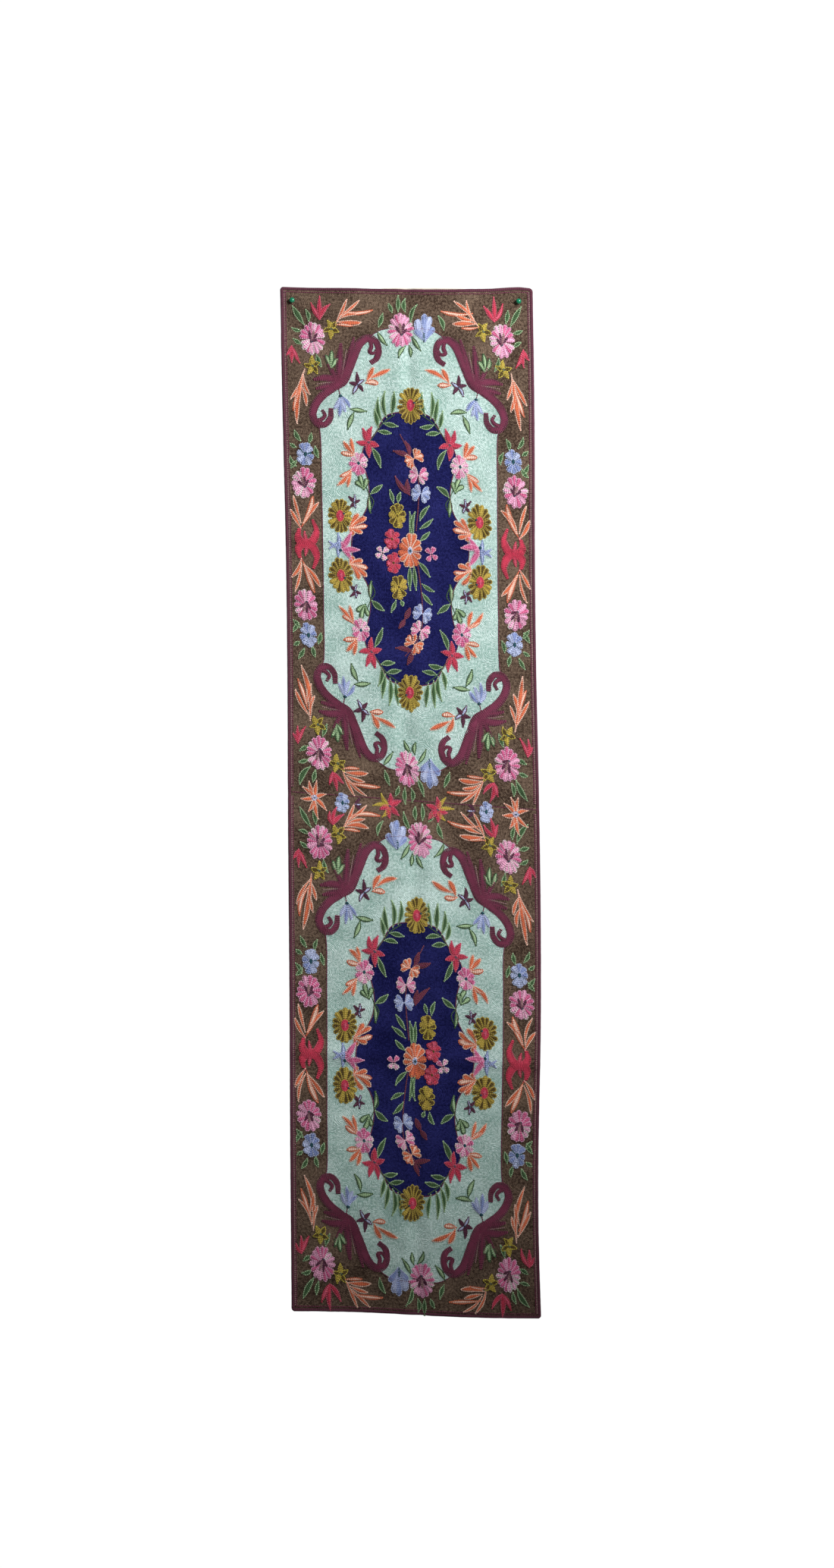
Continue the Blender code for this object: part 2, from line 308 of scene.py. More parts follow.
def add_node(tree: bpy.types.NodeTree, kind: str, inputs: dict | None = None, **settings) -> bpy.types.Node:
    """Adds a node with its settings, and sets or links its inputs.

    Args:
        tree: Tree that the node goes in.
        kind: Blender's type name of the node.
        inputs: Input names or numbers, each with a value or the output socket to link from.
        **settings: Properties of the node, which are set first.

    Returns:
        The node.
    """
    node = tree.nodes.new(kind)
    for name, value in settings.items():
        setattr(node, name, value)
    for key, value in (inputs or {}).items():
        if isinstance(value, bpy.types.NodeSocket):
            tree.links.new(value, node.inputs[key])
        else:
            node.inputs[key].default_value = value
    return node


def new_material(name: str) -> tuple[bpy.types.Material, bpy.types.NodeTree, bpy.types.Node]:
    """A material with an empty Principled shader.

    Args:
        name: Name of the real material.

    Returns:
        The material, its tree and its Principled node.
    """
    made = bpy.data.materials.new(name)
    made.use_nodes = True
    tree = made.node_tree
    return made, tree, tree.nodes["Principled BSDF"]


def finish_shader(tree: bpy.types.NodeTree, colours: dict, relief: tuple, values: dict[str, float]) -> None:
    """Gives a material its colour, its relief and its even values.

    Args:
        tree: The material's tree.
        colours: Inputs of its Mix node: 0 for the share, 6 for the dark end and 7 for the light one.
        relief: Its bump's strength, its depth in metres and the output with its height.
        values: Its even values, by the inputs' names.
    """
    shader = tree.nodes["Principled BSDF"]
    colour = add_node(tree, "ShaderNodeMix", colours, data_type="RGBA")
    bump = add_node(tree, "ShaderNodeBump", dict(zip(("Strength", "Distance", "Height"), relief)))
    tree.links.new(colour.outputs[2], shader.inputs["Base Color"])
    tree.links.new(bump.outputs["Normal"], shader.inputs["Normal"])
    for name, value in values.items():
        shader.inputs[name].default_value = value


def mark_points(mesh: bpy.types.Mesh, name: str, values: np.ndarray) -> None:
    """Stores a number or a vector of each point, which the mesh's materials read."""
    kind, key = ("FLOAT", "value") if values.ndim == 1 else ("FLOAT_VECTOR", "vector")
    made = mesh.attributes.new(name, kind, "POINT")
    made.data.foreach_set(key, values.astype(np.float32).ravel())


class Yarn(Enum):
    """Dyed wool yarns of the embroidery, as sRGB hex colours."""

    MAROON = "76304A"
    WINE = "5E2A44"
    RUST = "83394A"
    RED = "CC3D58"
    ROSE = "D9607A"
    CORAL = "DF764F"
    PEACH = "FBCFBC"
    PINK = "F2B4D2"
    DEEP_PINK = "D96C9A"
    CREAM = "F4E6E4"
    GOLD = "C2AA4A"
    OLIVE = "5C4814"
    YELLOW = "CDBB4C"
    LEAF = "3F6138"
    PALE_LEAF = "A9C69A"
    LILAC = "BFC9E8"
    BLUE = "8A9ACB"
    TEAL = "1E4F5C"
    DUSTY = "A57F80"


@dataclass(frozen=True)
class WoolYarn:
    """Two-ply crewel wool: matt and fuzzy, so each stitch has a soft edge and a slightly different dye."""

    yarn: Yarn
    dye_spread: float = 0.15
    fibre_size: float = 0.0005
    fuzz: float = 0.35
    tone_share: float = 0.75
    relief: float = 0.4
    relief_depth: float = 0.0002
    roughness: float = 0.88
    specular: float = 0.2
    sheen: float = 0.12
    sheen_roughness: float = 0.6

    def build(self) -> bpy.types.Material:
        """The yarn's material, which reads each stitch's own tone from the attribute of that name."""
        made, tree, _ = new_material("wool_yarn_" + self.yarn.name.lower())
        base = np.array(linear(self.yarn.value)[:3])
        dark = (*(base * (1 - self.dye_spread)), 1.0)
        light = (*np.minimum(base * (1 + self.dye_spread), 1.0), 1.0)
        tone = add_node(tree, "ShaderNodeAttribute", attribute_name="tone")
        place = add_node(tree, "ShaderNodeTexCoord").outputs["Object"]
        grain = {"Vector": place, "Scale": 1 / self.fibre_size / 2, "Detail": 2.0}
        fibres = add_node(tree, "ShaderNodeTexNoise", grain).outputs["Fac"]
        fuzz = add_node(tree, "ShaderNodeMath", {0: fibres, 1: self.fuzz}, operation="MULTIPLY")
        mixed = {0: tone.outputs["Fac"], 1: self.tone_share, 2: fuzz.outputs[0]}
        dyed = add_node(tree, "ShaderNodeMath", mixed, operation="MULTIPLY_ADD")
        values = {
            "Roughness": self.roughness,
            "Specular IOR Level": self.specular,
            "Sheen Weight": self.sheen,
            "Sheen Roughness": self.sheen_roughness,
        }
        colours = {0: dyed.outputs[0], 6: dark, 7: light}
        finish_shader(tree, colours, (self.relief, self.relief_depth, fibres), values)
        return made


class YarnBasket:
    """Makes each yarn's material once and hands it out."""

    def __init__(self) -> None:
        """Starts with no material made."""
        self.made: dict[Yarn, bpy.types.Material] = {}

    def material(self, yarn: Yarn) -> bpy.types.Material:
        """The material of a yarn."""
        if yarn not in self.made:
            self.made[yarn] = WoolYarn(yarn).build()
        return self.made[yarn]


@dataclass
class ChainRows:
    """Lays chain stitches along flat lines with a Geometry Nodes tree."""

    row_width: float = ROW_WIDTH
    pitch: float = STITCH_PITCH
    stitch_length: float = STITCH_LENGTH
    yarn_thickness: float = 0.0011
    size_spread: float = 0.10
    # A link's shape, as shares of its half length, its bow and its yarn's half thickness
    start_gap: float = 0.2
    start_dip: float = 0.2
    end_gap: float = 0.3
    end_rise: float = 0.1
    widest_at: float = 0.12
    leg_width: float = 1.5
    leg_height: float = 1.45
    link: bpy.types.Object = field(init=False)
    tree: bpy.types.NodeTree = field(init=False)

    def __post_init__(self) -> None:
        """Makes the one link that repeats, and the tree that lays it."""
        self.link = self.make_link()
        self.tree = self.make_tree()

    def make_link(self) -> bpy.types.Object:
        """One link: two legs of yarn that bow apart and close at both ends, of twelve faces."""
        reach = self.stitch_length / 2
        bow = (self.row_width - self.yarn_thickness) / 2
        thick = self.yarn_thickness / 2
        points: list[tuple[float, float, float]] = []
        faces: list[tuple[int, ...]] = []
        for side in (-1, 1):
            first = len(points)
            points.append((-reach, side * self.start_gap * bow, -self.start_dip * thick))
            for turn in (90, 210, 330):
                angle = math.radians(turn)
                y = side * bow + self.leg_width * thick * math.cos(angle)
                points.append((self.widest_at * reach, y, self.leg_height * thick * math.sin(angle)))
            points.append((reach, side * self.end_gap * bow, self.end_rise * thick))
            for k in range(3):
                near, far = first + 1 + k, first + 1 + (k + 1) % 3
                faces.append((first, far, near))
                faces.append((first + 4, near, far))
        mesh = bpy.data.meshes.new("chain_link")
        mesh.from_pydata(points, [], faces)
        return bpy.data.objects.new("chain_link", mesh)

    def make_tree(self) -> bpy.types.NodeTree:
        """The tree: lines in, chain stitches out, each turned along its line and given its own tone."""
        tree = bpy.data.node_groups.new("chain_stitch_rows", "GeometryNodeTree")
        face = tree.interface
        kinds = {
            "Geometry": "Geometry", "Link": "Object", "Pitch": "Float", "Size Spread": "Float",
            "Yarn": "Material",
        }
        for name, kind in kinds.items():
            face.new_socket(name, in_out="INPUT", socket_type=f"NodeSocket{kind}")
        face.new_socket("Geometry", in_out="OUTPUT", socket_type="NodeSocketGeometry")
        given = add_node(tree, "NodeGroupInput").outputs
        lines = add_node(tree, "GeometryNodeMeshToCurve", {"Mesh": given["Geometry"]})
        spacing = {"Curve": lines.outputs["Curve"], "Length": given["Pitch"]}
        spaced = add_node(tree, "GeometryNodeResampleCurve", spacing, mode="LENGTH")
        tangent = add_node(tree, "GeometryNodeInputTangent")
        axes = {"Primary Axis": tangent.outputs[0], "Secondary Axis": (0.0, 0.0, 1.0)}
        turned = add_node(
            tree, "FunctionNodeAxesToRotation", axes, primary_axis="X", secondary_axis="Z"
        )
        spread = {0: 1.0, 1: given["Size Spread"]}
        least = add_node(tree, "ShaderNodeMath", spread, operation="SUBTRACT")
        most = add_node(tree, "ShaderNodeMath", spread, operation="ADD")
        sizes = {2: least.outputs[0], 3: most.outputs[0], "Seed": SEED}
        size = add_node(tree, "FunctionNodeRandomValue", sizes, data_type="FLOAT")
        source = add_node(tree, "GeometryNodeObjectInfo", {"Object": given["Link"]})
        stitches = {
            "Points": spaced.outputs["Curve"],
            "Instance": source.outputs["Geometry"],
            "Rotation": turned.outputs["Rotation"],
            "Scale": size.outputs[1],
        }
        laid = add_node(tree, "GeometryNodeInstanceOnPoints", stitches)
        tones = {2: 0.0, 3: 1.0, "Seed": SEED + 1}
        tone = add_node(tree, "FunctionNodeRandomValue", tones, data_type="FLOAT")
        store = {"Geometry": laid.outputs["Instances"], "Name": "tone", "Value": tone.outputs[1]}
        toned = add_node(
            tree, "GeometryNodeStoreNamedAttribute", store, data_type="FLOAT", domain="INSTANCE"
        )
        real = add_node(tree, "GeometryNodeRealizeInstances", {"Geometry": toned.outputs["Geometry"]})
        finish = {"Geometry": real.outputs["Geometry"], "Material": given["Yarn"]}
        dyed = add_node(tree, "GeometryNodeSetMaterial", finish)
        add_node(tree, "NodeGroupOutput", {"Geometry": dyed.outputs["Geometry"]})
        return tree

    def stitch(self, lines: list[np.ndarray], yarn: bpy.types.Material) -> bpy.types.Mesh:
        """Chain stitches along lines, still flat.

        Args:
            lines: Each an (n, 3) array of (u, v, height).
            yarn: Material of the stitches.

        Returns:
            One plain mesh, whose points are (u, -v, height).
        """
        points: list[np.ndarray] = []
        edges: list[tuple[int, int]] = []
        count = 0
        for line in lines:
            points.append(line * (1.0, -1.0, 1.0))
            edges += [(count + i, count + i + 1) for i in range(len(line) - 1)]
            count += len(line)
        mesh = bpy.data.meshes.new("stitch_lines")
        mesh.from_pydata(np.concatenate(points), edges, [])
        carrier = bpy.data.objects.new("stitch_lines", mesh)
        bpy.context.scene.collection.objects.link(carrier)
        laying = carrier.modifiers.new("chain_stitch", "NODES")
        laying.node_group = self.tree
        values = {"Link": self.link, "Pitch": self.pitch, "Size Spread": self.size_spread, "Yarn": yarn}
        for item in self.tree.interface.items_tree:
            if item.in_out == "INPUT" and item.name in values:
                laying[item.identifier] = values[item.name]
        depsgraph = bpy.context.evaluated_depsgraph_get()
        made = bpy.data.meshes.new_from_object(carrier.evaluated_get(depsgraph))
        bpy.data.objects.remove(carrier)
        return made


@dataclass
class Shell:
    """Points, faces and per-point tones that add up to one piece."""

    points: list[np.ndarray] = field(default_factory=list)
    faces: list[np.ndarray] = field(default_factory=list)
    slots: list[np.ndarray] = field(default_factory=list)
    tones: list[np.ndarray] = field(default_factory=list)
    count: int = 0

    def add(self, points: np.ndarray, triangles: np.ndarray, slot: int, tones: np.ndarray) -> None:
        """Adds triangles that count their own points from 0.

        Args:
            points: An (n, 3) array.
            triangles: An (m, 3) array.
            slot: Number of their material.
            tones: One tone for each point, 0 to 1.
        """
        self.points.append(points)
        self.faces.append(triangles + self.count)
        self.slots.append(np.full(len(triangles), slot))
        self.tones.append(tones)
        self.count += len(points)

    def mesh(self, name: str, materials: list[bpy.types.Material]) -> bpy.types.Mesh:
        """The piece's mesh, smooth, with its materials and tones."""
        made = bpy.data.meshes.new(name)
        made.from_pydata(np.concatenate(self.points), [], np.concatenate(self.faces))
        for material in materials:
            made.materials.append(material)
        made.polygons.foreach_set("material_index", np.concatenate(self.slots).astype(np.int32))
        mark_points(made, "tone", np.concatenate(self.tones))
        made.shade_smooth()
        return made


def mesh_triangles(mesh: bpy.types.Mesh) -> tuple[np.ndarray, np.ndarray, np.ndarray]:
    """Reads a plain mesh.

    Args:
        mesh: Mesh to read, with or without a tone.

    Returns:
        Its points, its triangles and its tones.
    """
    points = np.empty(len(mesh.vertices) * 3)
    mesh.vertices.foreach_get("co", points)
    mesh.calc_loop_triangles()
    triangles = np.empty(len(mesh.loop_triangles) * 3, dtype=np.int64)
    mesh.loop_triangles.foreach_get("vertices", triangles)
    tones = np.full(len(mesh.vertices), 0.5)
    if "tone" in mesh.attributes:
        mesh.attributes["tone"].data.foreach_get("value", tones)
    return points.reshape(-1, 3), triangles.reshape(-1, 3), tones


def add_piece(name: str, mesh: bpy.types.Mesh) -> bpy.types.Object:
    """Puts a finished mesh in the scene, riding on the hanging.

    Args:
        name: Name of the piece.
        mesh: Its mesh, in its place.

    Returns:
        The piece.
    """
    made = bpy.data.objects.new(name, mesh)
    bpy.context.scene.collection.objects.link(made)
    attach(made, "root")
    LOG.info("%s: %d faces", name, len(mesh.polygons))
    return made


def crosswise(slope: np.ndarray) -> np.ndarray:
    """Unit vectors across the (n, 2) slopes of a line."""
    unit = slope / np.maximum(np.linalg.norm(slope, axis=1, keepdims=True), 1e-9)
    return np.stack((-unit[:, 1], unit[:, 0]), axis=1)


class Outline(Enum):
    """Half-width profiles of a petal or leaf: (share of its length, share of its full half width)."""

    LEAF = ((0.0, 0.10), (0.15, 0.62), (0.40, 1.0), (0.65, 0.86), (0.88, 0.42), (1.0, 0.0))
    PETAL = ((0.0, 0.30), (0.30, 0.62), (0.62, 0.95), (0.80, 1.0), (0.92, 0.82), (1.0, 0.30))
    POINTED = ((0.0, 0.35), (0.22, 0.85), (0.45, 1.0), (0.72, 0.72), (0.9, 0.32), (1.0, 0.0))
    FEATHER = ((0.0, 0.20), (0.30, 0.75), (0.60, 1.0), (0.82, 0.80), (0.95, 0.40), (1.0, 0.0))


@dataclass(frozen=True)
class Blade:
    """A leaf or petal: a rim of chain stitch round one or more core rows, over a pad of yarn."""

    base: Place
    tip: Place
    width: float
    rim: Yarn
    core: Yarn
    outline: Outline = Outline.LEAF
    bend: float = 0.0
    level: float = 0.0

    def centre_line(self, shares: np.ndarray) -> tuple[np.ndarray, np.ndarray]:
        """Middle of the blade and the direction across it.

        Args:
            shares: Shares of the way from base to tip.

        Returns:
            Two (n, 2) arrays: points, and unit vectors across.
        """
        base, tip = np.array(self.base), np.array(self.tip)
        way = tip - base
        side = np.array((-way[1], way[0]))
        points = base + shares[:, None] * way + self.bend * np.sin(np.pi * shares)[:, None] * side
        slope = way + self.bend * np.pi * np.cos(np.pi * shares)[:, None] * side
        return points, crosswise(slope)

    def half_widths(self, shares: np.ndarray) -> np.ndarray:
        """Half widths at shares of the way."""
        rows = np.array(self.outline.value)
        return np.interp(shares, rows[:, 0], rows[:, 1]) * self.width / 2


class Drawing:
    """Rows and pads of one piece, drawn flat, then stitched and hung."""

    # How far rows and the middles of pads stand off the ground, and how deep pads sink into it
    lift: float = 0.0003
    pad_rise: float = 0.00045
    pad_sink: float = 0.0003
    pad_under: float = 0.0002
    # Half width from which a pad also bends with the cloth across its width
    wide_pad: float = 0.0062
    # Pads show through the gaps between rows and take a darker tone than the stitches: painted shade
    # between the rows
    gap_shade_tone: float = 0.12
    # A blade's rim lies this far inside its edge, in row widths, and a narrower blade is one row
    rim_inset: float = 0.42
    one_row: float = 1.5
    pad_share: float = 0.8
    # Width that the rim takes up, in row widths, and the room left that one or two core rows need
    rim_room: float = 2.4
    core_room: float = -0.4
    two_core_room: float = 1.9
    core_spread: float = 1.2
    core_rise: float = 0.0001

    def __init__(self) -> None:
        """Starts empty."""
        self.rows: dict[Yarn, list[np.ndarray]] = {}
        self.pads: dict[Yarn, list[tuple[np.ndarray, np.ndarray, float]]] = {}

    def row(self, yarn: Yarn, line: np.ndarray, level: float = 0.0) -> None:
        """Draws one row of chain stitch.

        Args:
            yarn: Its yarn.
            line: An (n, 2) array of places.
            level: Height above the ground's surface.
        """
        height = np.full((len(line), 1), PANEL_THICKNESS / 2 + self.lift + level)
        self.rows.setdefault(yarn, []).append(np.hstack((line, height)))

    def blade(self, blade: Blade) -> None:
        """Draws a blade's pad, rim and core rows."""
        inset = ROW_WIDTH * self.rim_inset
        shares = np.linspace(0.0, 1.0, 13)
        middle, across = blade.centre_line(shares)
        half = np.maximum(blade.half_widths(shares) - inset, 0.0)[:, None]
        left, right = middle + across * half, middle - across * half
        # A very narrow blade is a single row
        if blade.width < ROW_WIDTH * self.one_row:
            self.row(blade.rim, middle, blade.level)
            return
        self.row(blade.rim, np.concatenate((left, right[::-1][1:])), blade.level)
        pad = (middle[::3], (half + inset * self.pad_share)[::3], blade.level)
        self.pads.setdefault(blade.core, []).append(pad)
        room = blade.width - self.rim_room * ROW_WIDTH
        if room < self.core_room * ROW_WIDTH:
            return
        length = float(np.linalg.norm(np.subtract(blade.tip, blade.base)))
        start, end = 0.10, 1.0 - min(0.35, 0.8 * ROW_WIDTH / length + 0.10)
        spread = (0.0,) if room < self.two_core_room * ROW_WIDTH else (-0.5, 0.5)
        core = np.linspace(start, end, 9)
        middle, across = blade.centre_line(core)
        room_there = np.maximum(blade.half_widths(core) - 1.1 * ROW_WIDTH, 0.0)[:, None]
        for share in spread:
            aside = across * room_there * share * self.core_spread
            self.row(blade.core, middle + aside, blade.level + self.core_rise)

    def dot(self, yarn: Yarn, centre: Place, radius: float, level: float, squash: float = 1.0) -> None:
        """Draws a round or oval centre as a coil of chain stitch on a pad.

        Args:
            yarn: Its yarn.
            centre: Place of its middle.
            radius: Radius across.
            level: Height above the ground's surface.
            squash: Its height down the cloth over its width.
        """
        outer = max(radius - ROW_WIDTH / 2, ROW_WIDTH * 0.35)
        turns = max(1.0, outer / ROW_WIDTH)
        share = np.linspace(0.0, 1.0, int(12 * turns) + 4)
        angle = 2 * np.pi * turns * share
        reach = outer * np.minimum(1.0, 0.18 + share * 1.05)
        across, down = reach * np.cos(angle), reach * np.sin(angle) * squash
        self.row(yarn, np.stack((centre[0] + across, centre[1] + down), axis=1), level)
        self.disc(yarn, centre, (radius, radius * squash), level)

    def disc(self, yarn: Yarn, centre: Place, size: Place, level: float = 0.0) -> None:
        """Draws an oval pad that shows between petals.

        Args:
            yarn: Its yarn.
            centre: Place of its middle.
            size: Its half width and half height.
            level: Height above the ground's surface.
        """
        spots = np.array((-1.0, -0.8, -0.4, 0.0, 0.4, 0.8, 1.0))
        middle = np.stack((np.full(7, centre[0]), centre[1] + spots * size[1]), axis=1)
        half = size[0] * np.sqrt(np.maximum(1 - spots**2, 0.0))[:, None]
        self.pads.setdefault(yarn, []).append((middle, half, level))

    def pad_shell(self, pads: list[tuple[np.ndarray, np.ndarray, float]]) -> tuple[np.ndarray, np.ndarray]:
        """Closed thin lenses for pads.

        Args:
            pads: For each, points down its middle, half widths there and its level.

        Returns:
            Flat points (u, v, height) and triangles.
        """
        points: list[np.ndarray] = []
        faces: list[tuple[int, int, int]] = []
        count = 0
        for middle, half, level in pads:
            n = len(middle)
            wide = float(half.max()) > self.wide_pad
            offsets = (1.0, 0.66, 0.33, 0.0, -0.33, -0.66, -1.0) if wide else (1.0, 0.0, -1.0)
            across = crosswise(np.gradient(middle, axis=0))
            top = PANEL_THICKNESS / 2 + level + self.pad_rise
            rim = PANEL_THICKNESS / 2 + level - self.pad_sink
            rings = [(offset, rim + (top - rim) * (1 - offset**2)) for offset in offsets]
            # A wide pad bends with the cloth underneath as well
            rings += [(offset, rim - self.pad_under) for offset in offsets[-2:0:-1]] if wide else []
            for offset, height in rings:
                place = middle + across * half * offset
                points.append(np.hstack((place, np.full((n, 1), height))))
            r = len(rings)
            for ring in range(r):
                a, b = count + ring * n, count + (ring + 1) % r * n
                for i in range(n - 1):
                    faces.append((a + i, b + i + 1, a + i + 1))
                    faces.append((a + i, b + i, b + i + 1))
            first, last = ([count + ring * n + i for ring in range(r)] for i in (0, n - 1))
            for k in range(1, r - 1):
                faces += [(first[0], first[k + 1], first[k]), (last[0], last[k], last[k + 1])]
            count += r * n
        return np.concatenate(points), np.array(faces)

    def sew(
        self, name: str, cloth: HangingSurface, chain: ChainRows, basket: YarnBasket
    ) -> bpy.types.Object:
        """Stitches everything drawn and hangs it as one piece.

        Args:
            name: Name of the piece.
            cloth: Surface that it lies on.
            chain: Lays the stitches.
            basket: Gives the yarns.

        Returns:
            The piece.
        """
        shell = Shell()
        yarns = list(dict.fromkeys((*self.rows, *self.pads)))
        for slot, yarn in enumerate(yarns):
            if yarn in self.rows:
                stitched = chain.stitch(self.rows[yarn], basket.material(yarn))
                points, triangles, tones = mesh_triangles(stitched)
                bpy.data.meshes.remove(stitched)
                shell.add(cloth.place(points * (1.0, -1.0, 1.0)), triangles, slot, tones)
            if yarn in self.pads:
                points, triangles = self.pad_shell(self.pads[yarn])
                # The pads' darker tone is painted shade in the gaps between the rows
                shell.add(cloth.place(points), triangles, slot, np.full(len(points), self.gap_shade_tone))
        made = add_piece(name, shell.mesh(name, [basket.material(yarn) for yarn in yarns]))
        return made


@dataclass(frozen=True)
class Quarter:
    """One of the mirrored ways that a panel's motifs repeat."""

    panel: int
    right: int
    down: int

    @property
    def at_seam(self) -> bool:
        """Whether the quarter ends at the seam between the panels."""
        return (self.panel == 0) == (self.down < 0)

    def place(self, spot: Place) -> Place:
        """Mirrors a place of the top left quarter, counted in metres from the panel's middle."""
        return self.right * spot[0], PANEL_CENTRES_V[self.panel] + self.down * spot[1]


@dataclass(frozen=True)
class Scheme:
    """Yarns of one kind of flower: petals in turn as (rim, core), then its heart."""

    petals: tuple[tuple[Yarn, Yarn], ...]
    heart: Yarn | None = None
    heart_ring: Yarn | None = None
    dot: Yarn | None = None
    between: Yarn | None = None


PINK_ROSE = Scheme(
    (
        (Yarn.PINK, Yarn.DEEP_PINK), (Yarn.PINK, Yarn.PINK), (Yarn.CREAM, Yarn.PINK),
        (Yarn.PINK, Yarn.DEEP_PINK),
    ),
    heart=Yarn.PINK,
    between=Yarn.MAROON,
)
BLUE_ROSE = Scheme(((Yarn.LILAC, Yarn.LILAC), (Yarn.LILAC, Yarn.BLUE)), heart=Yarn.TEAL, between=Yarn.TEAL)
OLIVE_ROSE = Scheme(
    ((Yarn.GOLD, Yarn.OLIVE), (Yarn.GOLD, Yarn.OLIVE), (Yarn.GOLD, Yarn.GOLD)),
    heart=Yarn.RED,
    heart_ring=Yarn.ROSE,
    dot=Yarn.TEAL,
    between=Yarn.OLIVE,
)
PLAIN_OLIVE = Scheme(
    ((Yarn.GOLD, Yarn.OLIVE), (Yarn.YELLOW, Yarn.OLIVE), (Yarn.GOLD, Yarn.GOLD)),
    heart=Yarn.OLIVE,
    between=Yarn.OLIVE,
)
SMALL_PINK = Scheme(
    ((Yarn.PINK, Yarn.DEEP_PINK), (Yarn.CREAM, Yarn.PINK)), heart=Yarn.TEAL, between=Yarn.DEEP_PINK
)
CENTRE_FLOWER = Scheme(
    ((Yarn.PEACH, Yarn.CORAL), (Yarn.CORAL, Yarn.CORAL), (Yarn.PEACH, Yarn.CORAL)),
    heart=Yarn.LILAC,
    heart_ring=Yarn.TEAL,
    between=Yarn.RUST,
)
RED_ROSE = Scheme(((Yarn.RED, Yarn.ROSE), (Yarn.ROSE, Yarn.RED)), heart=Yarn.OLIVE, between=Yarn.WINE)
PINK_CROSS = Scheme(((Yarn.CREAM, Yarn.PINK), (Yarn.PINK, Yarn.DEEP_PINK)), heart=Yarn.WINE)
RED_STAR = Scheme(((Yarn.ROSE, Yarn.RED),), heart=Yarn.TEAL)
RED_TULIP = Scheme(((Yarn.ROSE, Yarn.RED), (Yarn.RED, Yarn.ROSE)))
OLIVE_STAR = Scheme(((Yarn.YELLOW, Yarn.OLIVE), (Yarn.YELLOW, Yarn.GOLD)), heart=Yarn.TEAL)
PLUM_STAR = Scheme(((Yarn.WINE, Yarn.WINE), (Yarn.WINE, Yarn.LILAC)), heart=Yarn.TEAL)
CORAL_PLUME = Scheme(((Yarn.PEACH, Yarn.CORAL), (Yarn.PEACH, Yarn.CORAL), (Yarn.CORAL, Yarn.PEACH)))
CORAL_STAR = Scheme(((Yarn.PEACH, Yarn.CORAL),), heart=Yarn.LILAC, dot=Yarn.TEAL)
LILAC_FAN = Scheme(((Yarn.LILAC, Yarn.BLUE), (Yarn.LILAC, Yarn.LILAC)))
PINK_FAN = Scheme(((Yarn.PINK, Yarn.DEEP_PINK), (Yarn.CREAM, Yarn.PINK)))
DARK_RIMMED = Scheme(((Yarn.LEAF, Yarn.PALE_LEAF),))
LIGHT_RIMMED = Scheme(((Yarn.PALE_LEAF, Yarn.LEAF),))
YELLOW_BLADES = Scheme(((Yarn.YELLOW, Yarn.GOLD),))
RUST_BLADES = Scheme(((Yarn.RUST, Yarn.MAROON),))


